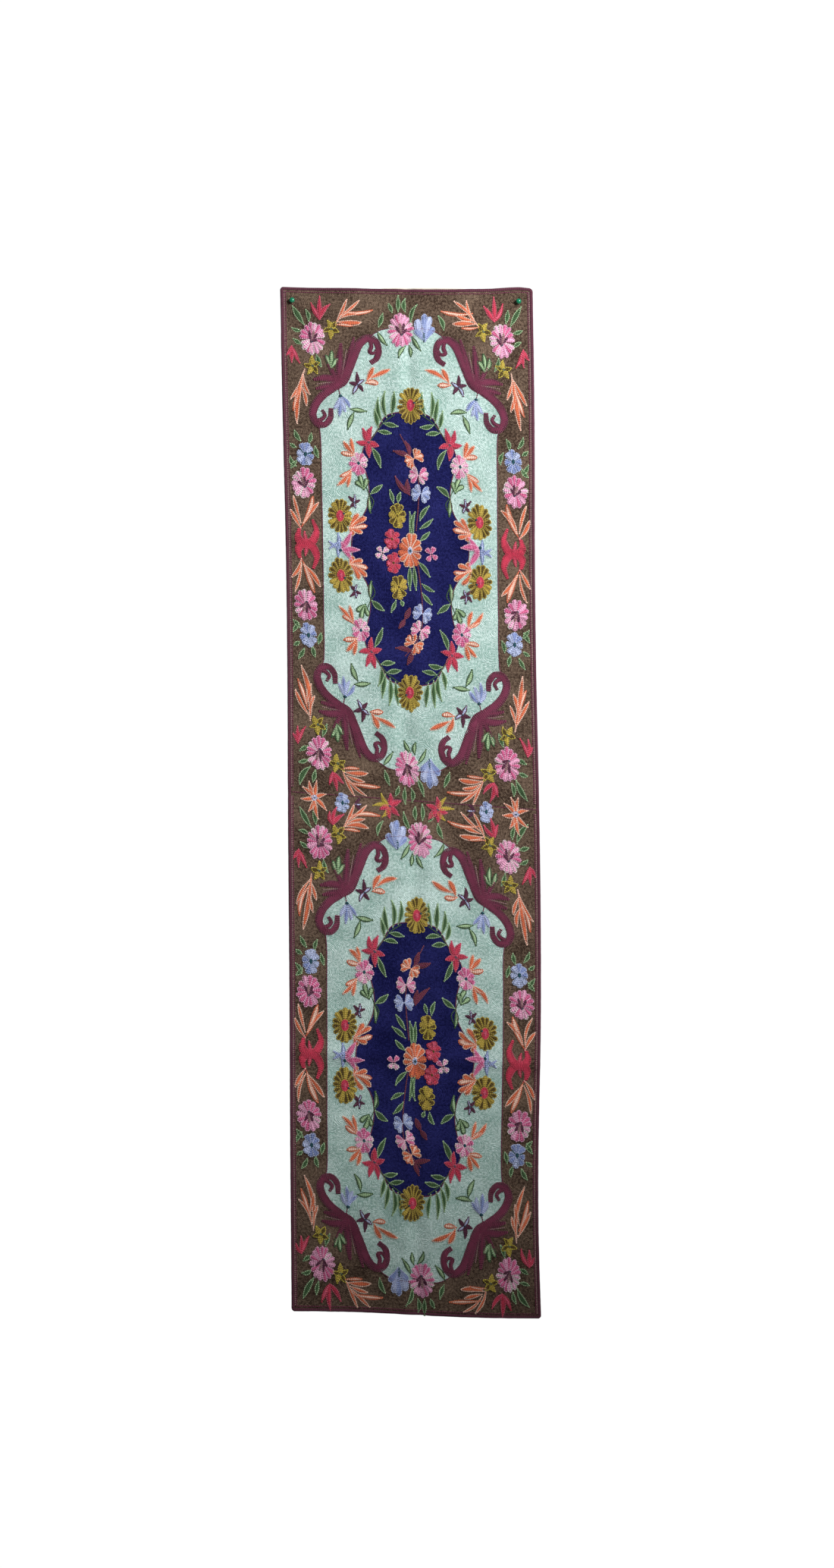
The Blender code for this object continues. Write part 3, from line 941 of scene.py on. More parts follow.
@dataclass
class Needlework:
    """Draws motifs whose sizes and places are counted in squares of the front view."""

    drawing: Drawing
    quarter: Quarter | None
    hand: random.Random

    def place(self, x: float, y: float) -> Place:
        """Flat place of a spot, mirrored into the quarter that is being worked."""
        u, v = unhang(x, y)
        if self.quarter is None:
            return u, v
        return self.quarter.place((u, v - PANEL_CENTRES_V[0]))

    def blade(
        self,
        spots: tuple[float, float, float, float],
        width: float,
        yarns: tuple[Yarn, Yarn],
        outline: Outline = Outline.LEAF,
        level: float = 0.0,
        bend: float = 0.0,
    ) -> None:
        """Draws a leaf or petal.

        Args:
            spots: x and y of its base, then of its tip.
            width: Its width in squares.
            yarns: Its rim and its core.
            outline: Its profile.
            level: Height above the ground.
            bend: Bow to one side, as a share of its length.
        """
        base, tip = self.place(*spots[:2]), self.place(*spots[2:])
        wide = width * SQUARE * self.hand.uniform(0.92, 1.08)
        bow = bend + self.hand.uniform(-0.04, 0.04)
        self.drawing.blade(Blade(base, tip, wide, *yarns, outline, bow, level))

    def leaves(self, rows: Table, scheme: Scheme = LIGHT_RIMMED, width: float = 6.4) -> None:
        """Draws leaves, each a row of base x, base y, tip x, tip y."""
        for row in rows:
            bend = self.hand.uniform(-0.1, 0.1)
            self.blade(row[:4], width, scheme.petals[0], Outline.LEAF, LEAF_LEVEL, bend)

    def burst(
        self,
        base: Place,
        tips: Table,
        scheme: Scheme,
        width: float = 6.0,
        outline: Outline = Outline.FEATHER,
        level: float = BLADE_LEVEL,
    ) -> None:
        """Draws blades that spring from one base.

        Args:
            base: Where they meet.
            tips: Their tips.
            scheme: Their yarns, in turn.
            width: Their width.
            outline: Their profile.
            level: Height above the ground.
        """
        for i, tip in enumerate(tips):
            yarns = scheme.petals[i % len(scheme.petals)]
            self.blade((*base, *tip), width, yarns, outline, level, self.hand.uniform(-0.1, 0.1))

    def plume(self, rows: Table, width: float = 6.4) -> None:
        """Draws a plume's narrow blades, each a row of base x, base y, tip x, tip y and maybe width."""
        for i, row in enumerate(rows):
            yarns = CORAL_PLUME.petals[i % len(CORAL_PLUME.petals)]
            wide = row[4] if len(row) > 4 else width
            bend = self.hand.uniform(-0.09, 0.09)
            self.blade(row[:4], wide, yarns, Outline.FEATHER, BLADE_LEVEL, bend)

    def rosette(
        self,
        centre: Place,
        size: Place,
        petals: int,
        scheme: Scheme,
        heart: float = 0.22,
        outline: Outline = Outline.PETAL,
    ) -> None:
        """Draws a flower head of petals round a heart.

        Args:
            centre: Its middle.
            size: Its width and height.
            petals: How many petals it has.
            scheme: Its yarns.
            heart: Radius of its heart as a share of its own.
            outline: Its petals' profile.
        """
        turn = self.hand.uniform(0.0, 2 * math.pi)
        x, y = centre
        if scheme.between is not None:
            pad = (size[0] * 0.44 * SQUARE, size[1] * 0.44 * SQUARE)
            self.drawing.disc(scheme.between, self.place(x, y), pad, LEAF_LEVEL)
        for k in range(petals):
            angle = turn + 2 * math.pi * (k + self.hand.uniform(-0.12, 0.12)) / petals
            reach = self.hand.uniform(0.93, 1.05)
            across, down = size[0] / 2 * math.cos(angle), size[1] / 2 * math.sin(angle)
            start = heart * 0.95
            spots = (x + across * start, y + down * start, x + across * reach, y + down * reach)
            width = math.pi * (size[0] + size[1]) / 2 / petals * 0.86
            yarns = scheme.petals[self.hand.randrange(len(scheme.petals))]
            self.blade(spots, min(width, size[0] * 0.45), yarns, outline, PETAL_LEVEL)
        self.heart(centre, size[0] / 2 * heart, size[1] / size[0], scheme)

    def heart(self, centre: Place, radius: float, squash: float, scheme: Scheme) -> None:
        """Draws a flower's heart: a coil, a ring round it, and a dot beside it."""
        place = self.place(*centre)
        if scheme.heart is not None:
            self.drawing.dot(scheme.heart, place, radius * SQUARE, HEART_LEVEL, squash)
        if scheme.heart_ring is not None:
            self.drawing.dot(scheme.heart_ring, place, radius * SQUARE * 0.45, RING_LEVEL, squash)
        if scheme.dot is not None:
            side = (centre[0] + radius * 0.8, centre[1] - radius * 0.5)
            self.drawing.dot(scheme.dot, self.place(*side), 1.5 * SQUARE, DOT_LEVEL)

    def pink_rose(self, centre: Place, size: Place = (33.0, 44.0), petals: int = 15) -> None:
        """Draws a large pink rosette with plum and lilac strokes fanning out of a dot in its heart."""
        self.rosette(centre, size, petals, PINK_ROSE, heart=0.22)
        lean = self.hand.uniform(-0.5, 0.5)
        x, y = centre[0] - size[0] * 0.12 * math.sin(lean), centre[1] + size[1] * 0.12 * math.cos(lean)
        for turn, reach, yarn in (
            (-2.2, 0.33, Yarn.WINE), (-1.65, 0.34, Yarn.DUSTY), (-1.2, 0.34, Yarn.WINE),
            (-0.6, 0.24, Yarn.WINE),
        ):
            tip = (x + size[0] * reach * math.cos(turn + lean), y + size[1] * reach * math.sin(turn + lean))
            self.blade((x, y, *tip), 4.0, (yarn, yarn), Outline.FEATHER, STROKE_LEVEL)
        self.drawing.dot(Yarn.TEAL, self.place(x, y), 1.9 * SQUARE, DOT_LEVEL)

    def star(
        self, centre: Place, tips: Table, scheme: Scheme, width: float = 7.5, heart: float = 2.2
    ) -> None:
        """Draws pointed petals from one centre, with a small heart."""
        self.burst(centre, tips, scheme, width, Outline.POINTED, PETAL_LEVEL)
        for yarn, radius, level in (
            (scheme.heart, heart, STAR_HEART_LEVEL), (scheme.dot, 1.4, RING_LEVEL),
        ):
            if yarn is not None:
                self.drawing.dot(yarn, self.place(*centre), radius * SQUARE, level)

    def round_star(self, centre: Place, radius: Place, scheme: Scheme, width: float, turn: float) -> None:
        """Draws a star of five equal petals, turned by an angle."""
        tips, petals = [], 5
        for k in range(petals):
            angle = turn + 2 * math.pi * k / petals + self.hand.uniform(-0.1, 0.1)
            tips.append((centre[0] + radius[0] * math.cos(angle), centre[1] + radius[1] * math.sin(angle)))
        self.star(centre, tuple(tips), scheme, width)

    def stem(self, yarn: Yarn, spots: Table, rows: int = 1) -> None:
        """Draws a smooth stem of rows through spots."""
        self.band(yarn, tuple((*spot, rows * ROW_WIDTH / SQUARE) for spot in spots), LEAF_LEVEL)

    def band(self, yarn: Yarn, stations: Table, level: float = BAND_LEVEL) -> None:
        """Draws a ribbon of side by side rows.

        Args:
            yarn: Its yarn.
            stations: Rows of x, y and width, all in squares.
            level: Height above the ground.
        """
        places = np.array([self.place(x, y) for x, y, _ in stations])
        widths = np.array([row[2] for row in stations]) * SQUARE
        self.drawing_band(yarn, places, widths, level)

    def drawing_band(self, yarn: Yarn, places: np.ndarray, widths: np.ndarray, level: float) -> None:
        """Draws a ribbon through flat places with its widths in metres."""
        middle, width = smooth_line(places, widths)
        across = crosswise(np.gradient(middle, axis=0))
        count = max(1, round(float(widths.max()) / ROW_WIDTH / ROW_GAP))
        for k in range(count):
            share = 0.0 if count == 1 else 2 * k / (count - 1) - 1
            offset = np.maximum(width - ROW_WIDTH, 0.0) / 2 * share
            self.drawing.row(yarn, middle + across * offset[:, None], level)
        if count > 1:
            step = max(1, len(middle) // 8)
            half = np.maximum(width / 2 - BAND_PAD_INSET, 0.0)
            self.drawing.pads.setdefault(yarn, []).append((middle[::step], half[::step][:, None], level))


def smooth_line(places: np.ndarray, widths: np.ndarray) -> tuple[np.ndarray, np.ndarray]:
    """Rounds a line of stations.

    Args:
        places: Its stations.
        widths: Its width at each.

    Returns:
        Denser places and widths on a smooth curve through the stations.
    """
    rows = np.hstack((places, widths[:, None]))
    steps = np.linalg.norm(np.diff(places, axis=0), axis=1)
    share = np.concatenate(([0.0], np.cumsum(steps))) / steps.sum()
    table = tuple((share[i], *rows[i]) for i in range(len(rows)))
    wanted = np.linspace(0.0, 1.0, 6 * len(rows))
    smooth = np.stack([along(table, wanted, column) for column in (1, 2, 3)], axis=1)
    return smooth[:, :2], np.maximum(smooth[:, 2], 0.0)


# Outlines of the grounds' quarter, left of and above the panel's middle, in metres
FIELD_QUARTER = (
    (0.0, -0.397), (-0.040, -0.396), (-0.064, -0.383), (-0.084, -0.365), (-0.097, -0.342), (-0.110, -0.312),
    (-0.128, -0.294), (-0.148, -0.266), (-0.170, -0.250), (-0.174, -0.228), (-0.159, -0.208),
    (-0.158, -0.100), (-0.158, 0.0),
)
MEDALLION_QUARTER = (
    (0.0, -0.243), (-0.022, -0.243), (-0.043, -0.234), (-0.059, -0.206), (-0.081, -0.178), (-0.084, -0.152),
    (-0.077, -0.130), (-0.073, -0.106), (-0.074, -0.085), (-0.079, -0.066), (-0.093, -0.042),
    (-0.102, -0.026), (-0.106, 0.0),
)
# Outlines are drawn in steps of about this length
OUTLINE_STEP = 0.006


def closed_outline(quarter: Table, panel: int) -> np.ndarray:
    """A ground's whole outline from its quarter.

    Args:
        quarter: Places of the top left quarter, from the top middle to the left middle.
        panel: 0 for the upper panel and 1 for the lower one.

    Returns:
        An (n, 2) array of flat places round the outline, once each.
    """
    top_left = list(quarter)
    bottom_left = [(x, -y) for x, y in reversed(quarter[:-1])]
    bottom_right = [(-x, -y) for x, y in quarter[1:]]
    top_right = [(-x, y) for x, y in reversed(quarter[1:-1])]
    corners = np.array(top_left + bottom_left + bottom_right + top_right)
    ring = []
    n = len(corners)
    for i in range(n):
        before, start, end, after = (corners[(i + k) % n] for k in (-1, 0, 1, 2))
        steps = max(1, round(float(np.linalg.norm(end - start)) / OUTLINE_STEP))
        for t in np.arange(steps) / steps:
            curve = 0.5 * (
                2 * start
                + (end - before) * t
                + (2 * before - 5 * start + 4 * end - after) * t**2
                + (3 * start - before - 3 * end + after) * t**3
            )
            ring.append(curve)
    made = np.array(ring)
    made[:, 1] += PANEL_CENTRES_V[panel]
    return made


@dataclass
class Motifs:
    """All the motifs, drawn in pieces small enough to stay light, and sewn one after another."""

    cloth: HangingSurface
    chain: ChainRows
    basket: YarnBasket
    pieces: list[bpy.types.Object] = field(default_factory=list)
    # The maroon row inside the edging: its gap from it, a dusty row's step beyond it, and its end's place
    rim_gap: float = 0.0030
    dusty_step: float = 0.0022
    end_place: float = 0.0088

    def sew(self, name: str, drawing: Drawing) -> None:
        """Sews one finished drawing."""
        self.pieces.append(drawing.sew(name, self.cloth, self.chain, self.basket))

    def worker(self, drawing: Drawing, seed: int, panel: int, right: int, down: int) -> Needlework:
        """A needleworker for one quarter, with a hand of its own."""
        return Needlework(drawing, Quarter(panel, right, down), random.Random(SEED + seed))

    def quarters(self, panel: int, drawing: Drawing) -> list[Needlework]:
        """A needleworker for each mirrored quarter of a panel."""
        workers = []
        for right in (1, -1):
            for down in (1, -1):
                seed = panel * 4 + (right + 1) + (down + 1) // 2
                workers.append(self.worker(drawing, seed, panel, right, down))
        return workers

    def group(
        self,
        name: str,
        panel: int,
        before: tuple[Callable, ...] = (),
        quarter: Callable | None = None,
        after: tuple[Callable, ...] = (),
    ) -> None:
        """Draws and sews one piece.

        Args:
            name: Name of the piece.
            panel: 0 for the upper panel and 1 for the lower one.
            before: What draws on the whole panel first.
            quarter: What draws in each mirrored quarter, if anything does.
            after: What draws on the whole panel last.
        """
        drawing = Drawing()
        for draw in before:
            draw(panel, drawing)
        for worker in self.quarters(panel, drawing) if quarter else ():
            quarter(worker)
        for draw in after:
            draw(panel, drawing)
        self.sew(name, drawing)

    def build(self) -> list[bpy.types.Object]:
        """Draws and sews every group."""
        for panel, word in enumerate(("upper", "lower")):
            self.group(f"maroon_scrolls_{word}", panel, (self.draw_outlines,), self.draw_scroll)
            self.group(f"corner_flowers_{word}", panel, quarter=self.draw_corner)
            self.group(f"side_flowers_{word}", panel, quarter=self.draw_side)
            self.group(f"field_flowers_{word}", panel, quarter=self.draw_field)
            self.group(f"wreath_{word}", panel, quarter=self.draw_wreath, after=(self.draw_wreath_ends,))
            self.group(f"centre_spray_{word}", panel, (self.draw_spray, self.draw_end_groups))
        for name, draw in (("middle_band", self.draw_middle_band), ("hem_stitches", self.draw_hem)):
            drawing = Drawing()
            draw(drawing)
            self.sew(name, drawing)
        return self.pieces

    def draw_outlines(self, panel: int, drawing: Drawing) -> None:
        """Draws the maroon row round the field and round the medallion, and the row inside the edging."""
        for quarter in (FIELD_QUARTER, MEDALLION_QUARTER):
            ring = closed_outline(quarter, panel)
            drawing.row(Yarn.MAROON, np.concatenate((ring, ring[:1])))
        rim = CLOTH_WIDTH / 2 - BINDING_WIDTH - self.rim_gap
        start, end = panel * CLOTH_LENGTH / 2, (panel + 1) * CLOTH_LENGTH / 2
        down = np.arange(start + 0.009, end - 0.004, 0.02)
        for side in (-1, 1):
            for yarn, out in ((Yarn.MAROON, rim), (Yarn.DUSTY, rim + self.dusty_step)):
                drawing.row(yarn, np.stack((np.full(len(down), side * out), down), axis=1))
        across = np.linspace(-rim, rim, 40)
        end_row = self.end_place if panel == 0 else CLOTH_LENGTH - self.end_place
        drawing.row(Yarn.MAROON, np.stack((across, np.full(40, end_row)), axis=1))

    def draw_hem(self, drawing: Drawing) -> None:
        """Draws the stitches on the back, which hold the turned edge and join the two panels."""
        half, foot, inset, gap = CLOTH_WIDTH / 2 - 0.013, CLOTH_LENGTH, 0.013, 0.0125
        below = -PANEL_THICKNESS - 0.0006
        lean = np.array(((-0.0016, 0.0), (0.0016, 0.0036)))
        for side in (-1, 1):
            for v in np.arange(inset, foot - inset, gap):
                drawing.row(Yarn.MAROON, lean * (side, 1.0) + (side * half, v), below)
        for v in (inset, CLOTH_LENGTH / 2, foot - inset):
            for u in np.arange(-half + gap, half, gap):
                drawing.row(Yarn.MAROON, lean[:, ::-1] + (u, v), below)

    def draw_scroll(self, w: Needlework) -> None:
        """Draws a corner's maroon scroll: two hooks that curl inwards, and leaf streaks at their root."""
        upper = (
            (452, 504, 8), (460, 490, 11), (466, 474, 12), (472, 459, 12), (480, 450, 11), (489, 448, 10),
        )
        w.band(Yarn.MAROON, (*upper, (497, 454, 9), (500, 464, 8), (498, 474, 7.5), (490, 480, 7)))
        w.band(Yarn.MAROON, ((488, 451, 5), (490, 459, 6), (488, 466, 6), (493, 468, 4.5), (496, 464, 4)))
        lower = (
            (452, 504, 8), (440, 513, 11), (427, 522, 11), (417, 534, 11), (413, 548, 10.5), (419, 560, 9),
        )
        w.band(Yarn.MAROON, (*lower, (429, 561, 8.5), (436, 553, 8), (437, 541, 6.5)))
        w.band(Yarn.MAROON, ((419, 556, 6), (425, 554, 6), (429, 549, 5.5), (426, 543, 4.5)))
        # The leaf streaks at the root meet in one solid body
        for streak in (
            ((440, 512, 12), (451, 503, 17), (460, 490, 12)),
            ((452, 503, 8), (458, 484, 8), (463, 465, 7), (467, 448, 3)),
            ((446, 505, 8), (448, 490, 9), (448.5, 474, 9), (450, 456, 4)),
            ((444, 505, 6), (440, 494, 7), (433, 483, 3)),
            ((450, 505, 10), (438, 501, 10), (427, 500, 9), (415, 502, 4)),
            ((444, 511, 9), (431, 511.5, 9), (418, 514, 4)),
        ):
            w.band(Yarn.MAROON, streak)
        w.stem(Yarn.DUSTY, ((447, 505), (434, 506), (419, 508)))
        w.stem(Yarn.DUSTY, ((451, 499), (454, 482), (457, 464)))

    def draw_corner(self, w: Needlework) -> None:
        """Draws a corner's pink rosette, tulips, plumes, olive stars and leaves."""
        w.leaves(((386, 404, 401, 429),), LIGHT_RIMMED, 8.0)
        w.leaves(((403.5, 409, 407, 425), (397, 437, 385, 433), (418, 470, 424, 486), (397, 455, 387, 448)))
        if w.quarter.at_seam:
            w.burst((430, 424), ((435, 401), (425, 408), (444, 411)), RED_TULIP, 6.5, Outline.POINTED)
        else:
            tips = ((421.7, 390.5), (410, 400), (435.6, 402.6))
            w.burst((421.7, 422), tips, RED_TULIP, 7.0, Outline.POINTED)
        w.burst((385, 458), ((385, 480), (396, 481), (378, 470)), RED_TULIP, 6.0, Outline.POINTED)
        w.pink_rose((412.6, 447.4))
        w.round_star((437, 436), (11, 13), OLIVE_STAR, 7.5, 0.4)
        w.round_star((412, 484), (11, 13), OLIVE_STAR, 7.5, 0.9)
        w.plume(((443, 429, 458, 396, 5.2), (449, 419, 474, 398, 5.2), (451, 413, 492, 411, 6.2)))
        w.plume(((449, 422, 472, 416, 6.5), (446, 426, 477, 427.5, 8.0), (443, 430, 465, 432, 5.0)))
        w.plume(((402, 489, 392, 560, 7.5), (400, 496, 383, 528, 6.0), (399, 504, 387, 542, 6.5)))
        w.plume(((398, 511, 404.5, 537), (401, 498, 409, 522, 5.5)))
        w.burst((437, 488), ((430, 470), (438, 464), (446, 474)), DARK_RIMMED, 7.5)
        w.stem(Yarn.MAROON, ((427.7, 471.7), (434, 482), (440, 493.5)))

    def draw_side(self, w: Needlework) -> None:
        """Draws half of a side border: blue and pink rosettes, a plume, and a hooked scroll."""
        w.rosette((403, 600), (22, 31.5), 8, BLUE_ROSE, heart=0.26)
        w.leaves(((389, 569, 397, 583), (410.8, 572.7, 408, 586), (383.5, 586, 391, 591)))
        w.leaves(((383, 603, 391, 616), (416, 590, 420, 605), (384, 618, 392, 608)))
        w.pink_rose((401, 638), (32, 40), 13)
        w.plume((
            (397, 697, 383, 672), (397, 690, 387, 654, 5.5), (399, 694, 413, 655, 8.0),
            (400, 690, 421, 663, 7.0),
        ))
        # An hourglass scroll: each half is a shallow bowl of leaves
        bowl = ((395, 699, 5), (394, 711, 10), (403, 719, 11), (413, 714, 11), (418, 702, 8), (413, 687, 4))
        w.band(Yarn.RED, bowl)
        w.stem(Yarn.ROSE, ((397, 707), (402, 713), (409, 711), (414, 702)))
        w.blade((405, 716, 402, 701), 5.5, (Yarn.RED, Yarn.ROSE))
        w.stem(Yarn.RED, ((395, 704), (397, 696)), 2)

    def draw_field(self, w: Needlework) -> None:
        """Draws the field's plum star, lilac blossom and leaves beside a corner scroll."""
        tips = ((471, 493), (481, 503), (479, 518), (466, 521), (461, 506))
        w.star((472, 509), tips, PLUM_STAR, 6.0, 1.8)
        w.plume(((484, 505, 493, 486, 8.5), (488, 501, 515, 489, 8.0), (483, 507, 499, 508, 8.0)))
        w.burst((449.5, 523.6), ((448, 550), (456, 545), (462, 539), (441, 541)), LILAC_FAN, 6.5)
        w.stem(Yarn.MAROON, ((446, 510), (449, 523)))
        w.drawing.dot(Yarn.TEAL, w.place(449.5, 524), 2.4 * SQUARE, STAR_HEART_LEVEL)
        w.leaves(((463, 541, 484, 544), (467, 546, 459, 568)), DARK_RIMMED, 7.5)

    def draw_wreath(self, w: Needlework) -> None:
        """Draws a quarter of the flowers round the medallion."""
        upper = ((499, 565, 494, 541), (504, 557, 499, 526), (510, 552, 508, 517), (517, 548, 520, 518))
        w.leaves(upper, width=7.0)
        w.leaves(((506.5, 560, 525, 564), (499, 570, 517, 573)), LIGHT_RIMMED, 7.5)
        w.stem(Yarn.LEAF, ((489, 582), (498, 569), (507, 558), (520, 549)))
        tips = ((478.6, 565.4), (491, 564), (500, 589.7), (487, 604.2), (470, 583.6))
        w.star((486, 585), tips, RED_STAR, 8.5)
        w.leaves(((491, 592, 502, 618), (489, 652, 505, 640)), LIGHT_RIMMED, 8.0)
        w.leaves(((487, 655, 489, 678),), DARK_RIMMED, 6.5)
        w.burst((480, 646), ((469, 636), (474, 627), (484, 632)), DARK_RIMMED, 7.5, Outline.PETAL)
        w.stem(Yarn.LEAF, ((482, 640), (487, 652), (493, 662), (488, 676)))
        w.rosette((473, 612), (24, 31), 9, SMALL_PINK, heart=0.2)
        w.burst((468, 601), ((453, 583), (463, 579), (450, 598)), CORAL_PLUME, 7.5)
        w.burst((464, 620), ((445, 641), (459, 643), (449, 629)), CORAL_PLUME, 7.0)
        tips = ((460, 655), (468, 653), (475, 660), (470, 671), (461, 670))
        w.star((467, 663), tips, PLUM_STAR, 4.6, 1.5)
        w.rosette((449, 681), (31.5, 46), 15, OLIVE_ROSE, heart=0.36)
        tips = ((473, 678), (483, 683), (484, 694), (478, 703), (466, 707))
        w.burst((461, 697), tips, CORAL_PLUME, 8.0, Outline.PETAL)
        w.blade((451, 724, 464, 702), 8.5, (Yarn.PINK, Yarn.DEEP_PINK), Outline.POINTED, 0.0005)
        w.blade((448, 723, 446, 704), 6.0, (Yarn.BLUE, Yarn.LILAC), level=BAND_LEVEL)
        w.blade((447, 724, 434, 714), 5.0, (Yarn.LILAC, Yarn.BLUE), level=BAND_LEVEL)

    def draw_wreath_ends(self, panel: int, drawing: Drawing) -> None:
        """Draws the olive rosettes at the medallion's top and bottom, and its side hearts."""
        for right, down in ((1, 1), (-1, -1)):
            w = self.worker(drawing, 30 + panel * 2 + down, panel, right, down)
            w.rosette((541.5, 536), (33, 48), 17, OLIVE_ROSE, heart=0.36)
            w.blade((452, 726, 475, 726), 9.0, (Yarn.PINK, Yarn.DEEP_PINK), Outline.POINTED, 0.0006)
            w.drawing.dot(Yarn.TEAL, w.place(449.5, 726), 2.2 * SQUARE, 0.0012)

    def draw_end_groups(self, panel: int, drawing: Drawing) -> None:
        """Draws the pink rosette and the lilac fan at the middle of the panel's top and bottom."""
        # The lower panel's groups have the fan on the other side
        mirror = 1 if panel == 0 else -1
        for down in (1, -1):
            w = self.worker(drawing, 50 + panel * 2 + down, panel, mirror, down)
            w.pink_rose((529, 438), (33, 45), 16)
            inner = ((498, 440, 511, 458), (534, 459, 526, 474), (540, 458, 542, 473), (544, 446, 555, 465))
            w.leaves(inner, DARK_RIMMED, 6.5)
            outer = ((499.5, 433, 505, 415), (542, 427, 550, 404), (585, 437, 577, 418))
            w.leaves(outer, width=6.5)
            w.leaves(((525, 413, 525, 392), (534, 413, 534, 396), (517, 414, 512, 402)))
            tips = ((548, 436), (551, 423), (559, 416), (567, 420), (572, 434))
            w.burst((560, 452), tips, LILAC_FAN, 10.5, Outline.PETAL)
            w.blade((559, 452, 559, 442), 4.0, (Yarn.TEAL, Yarn.TEAL), level=0.0006)

    def draw_spray(self, panel: int, drawing: Drawing) -> None:
        """Draws the stem of flowers in the medallion, which leans the other way on the lower panel."""
        mirror = 1 if panel == 0 else -1
        w = self.worker(drawing, 70 + panel, panel, mirror, 1)
        w.stem(Yarn.RUST, ((528, 575), (545, 610), (552, 636), (552, 664), (549, 700)))
        w.stem(Yarn.RUST, ((551, 745), (556, 785), (557, 825), (548, 850), (535, 865)))
        for base, tips in (
            ((540, 602), ((534, 583), (519, 596))),
            ((540, 653), ((521, 629), (537, 633))),
            ((534, 817), ((526, 829), (541, 802))),
            ((544, 860), ((522, 855), (537, 877))),
        ):
            w.burst(base, tips, RUST_BLADES, 7.5, Outline.LEAF)
        for centre, lean, scheme in (
            ((546, 606), -0.6, CORAL_PLUME),
            ((552, 628), 0.1, PINK_FAN),
            ((555, 652), 0.2, LILAC_FAN),
            ((557, 810), 0.4, LILAC_FAN),
            ((554.5, 832), 0.5, PINK_FAN),
            ((546, 850), 0.8, CORAL_PLUME),
        ):
            self.draw_half_blossoms(w, centre, lean, scheme)
        for centre, size, petals, scheme, heart in (
            ((524, 681), (21, 33), 9, PLAIN_OLIVE, 0.18),
            ((526, 775), (21, 33), 9, PLAIN_OLIVE, 0.18),
            ((517, 712), (19, 27), 7, RED_ROSE, 0.2),
            ((519, 743), (19, 27), 7, RED_ROSE, 0.2),
            ((504.5, 730), (17, 21), 4, PINK_CROSS, 0.2),
            ((569, 731.6), (17, 21), 4, PINK_CROSS, 0.2),
        ):
            w.rosette(centre, size, petals, scheme, heart)
        w.leaves(((554, 687, 566, 668), (554, 698, 571, 685), (554.5, 714, 567, 702)), width=6.5)
        w.leaves(((552, 742, 567, 762), (557, 771, 573, 781), (557, 783, 570, 799)), width=6.5)
        w.leaves(((541, 706, 540, 675), (545.5, 706, 548, 675), (541, 747, 541, 780), (546, 747, 549, 780)))
        w.leaves(((519, 664, 514, 646), (525, 663, 528, 650), (522, 793, 516, 808), (529, 793, 531, 800)))
        w.rosette((541, 727), (31, 46), 12, CENTRE_FLOWER, heart=0.24)

    def draw_half_blossoms(self, w: Needlework, centre: Place, lean: float, scheme: Scheme) -> None:
        """Draws two fans of petals that face each other across a stem.

        Args:
            w: Who draws them.
            centre: Middle of the pair.
            lean: Turn of the pair, in radians.
            scheme: Their yarns.
        """
        for facing in (0.0, math.pi):
            tips = []
            for fan in (-0.85, -0.28, 0.28, 0.85):
                angle = lean + facing + fan
                tips.append((centre[0] + 12.5 * math.cos(angle), centre[1] + 13.5 * math.sin(angle)))
            side = (centre[0] + 1.5 * math.cos(lean + facing), centre[1] + 1.5 * math.sin(lean + facing))
            w.burst(side, tuple(tips), scheme, 6.6, Outline.PETAL, PETAL_LEVEL)

    def draw_middle_band(self, drawing: Drawing) -> None:
        """Draws the flowers along the seam between the panels, and the dashed row on it."""
        w = Needlework(drawing, None, random.Random(SEED + 90))
        for start in np.arange(-0.216, 0.216, 0.0105):
            dash = np.stack((np.linspace(start, start + 0.0072, 4), np.full(4, CLOTH_LENGTH / 2)), axis=1)
            w.drawing.row(Yarn.MAROON, dash)
        tips = (
            (408, 1029), (418, 1029), (431, 1047), (431, 1069), (420, 1080), (406.5, 1070), (397, 1053),
            (399, 1037),
        )
        w.star((415, 1052), tips, CORAL_STAR, 7.0, 4.2)
        tips = tuple((x + 265, y + 22) for x, y in tips)
        w.star((680, 1074), tips, CORAL_STAR, 7.0, 4.2)
        w.rosette((452, 1058.5), (18, 27), 8, BLUE_ROSE, heart=0.28)
        w.rosette((641, 1070.5), (18, 27), 8, BLUE_ROSE, heart=0.28)
        self.draw_star_pair(w, (514, 1063), 1)
        self.draw_star_pair(w, (577, 1068), -1)
        w.burst((468, 1060), ((475, 1052), (477, 1060), (475, 1068)), PLUM_STAR, 4.5)
        w.burst((626, 1069), ((618, 1061), (616, 1069), (618, 1077)), PLUM_STAR, 4.5)

    def draw_star_pair(self, w: Needlework, centre: Place, side: int) -> None:
        """Draws a red star with yellow petals on its outer side."""
        x, y = centre
        outer = ((x - side * 11, y - 17), (x - side * 22, y - 1), (x - side * 10, y + 14))
        w.burst(centre, outer, YELLOW_BLADES, 6.0, Outline.POINTED)
        inner = ((x + side, y - 17), (x + side * 15, y - 7), (x + side * 12, y + 12), (x, y + 16))
        w.star(centre, (*inner, (x - side * 13, y + 4)), RED_STAR, 8.5)


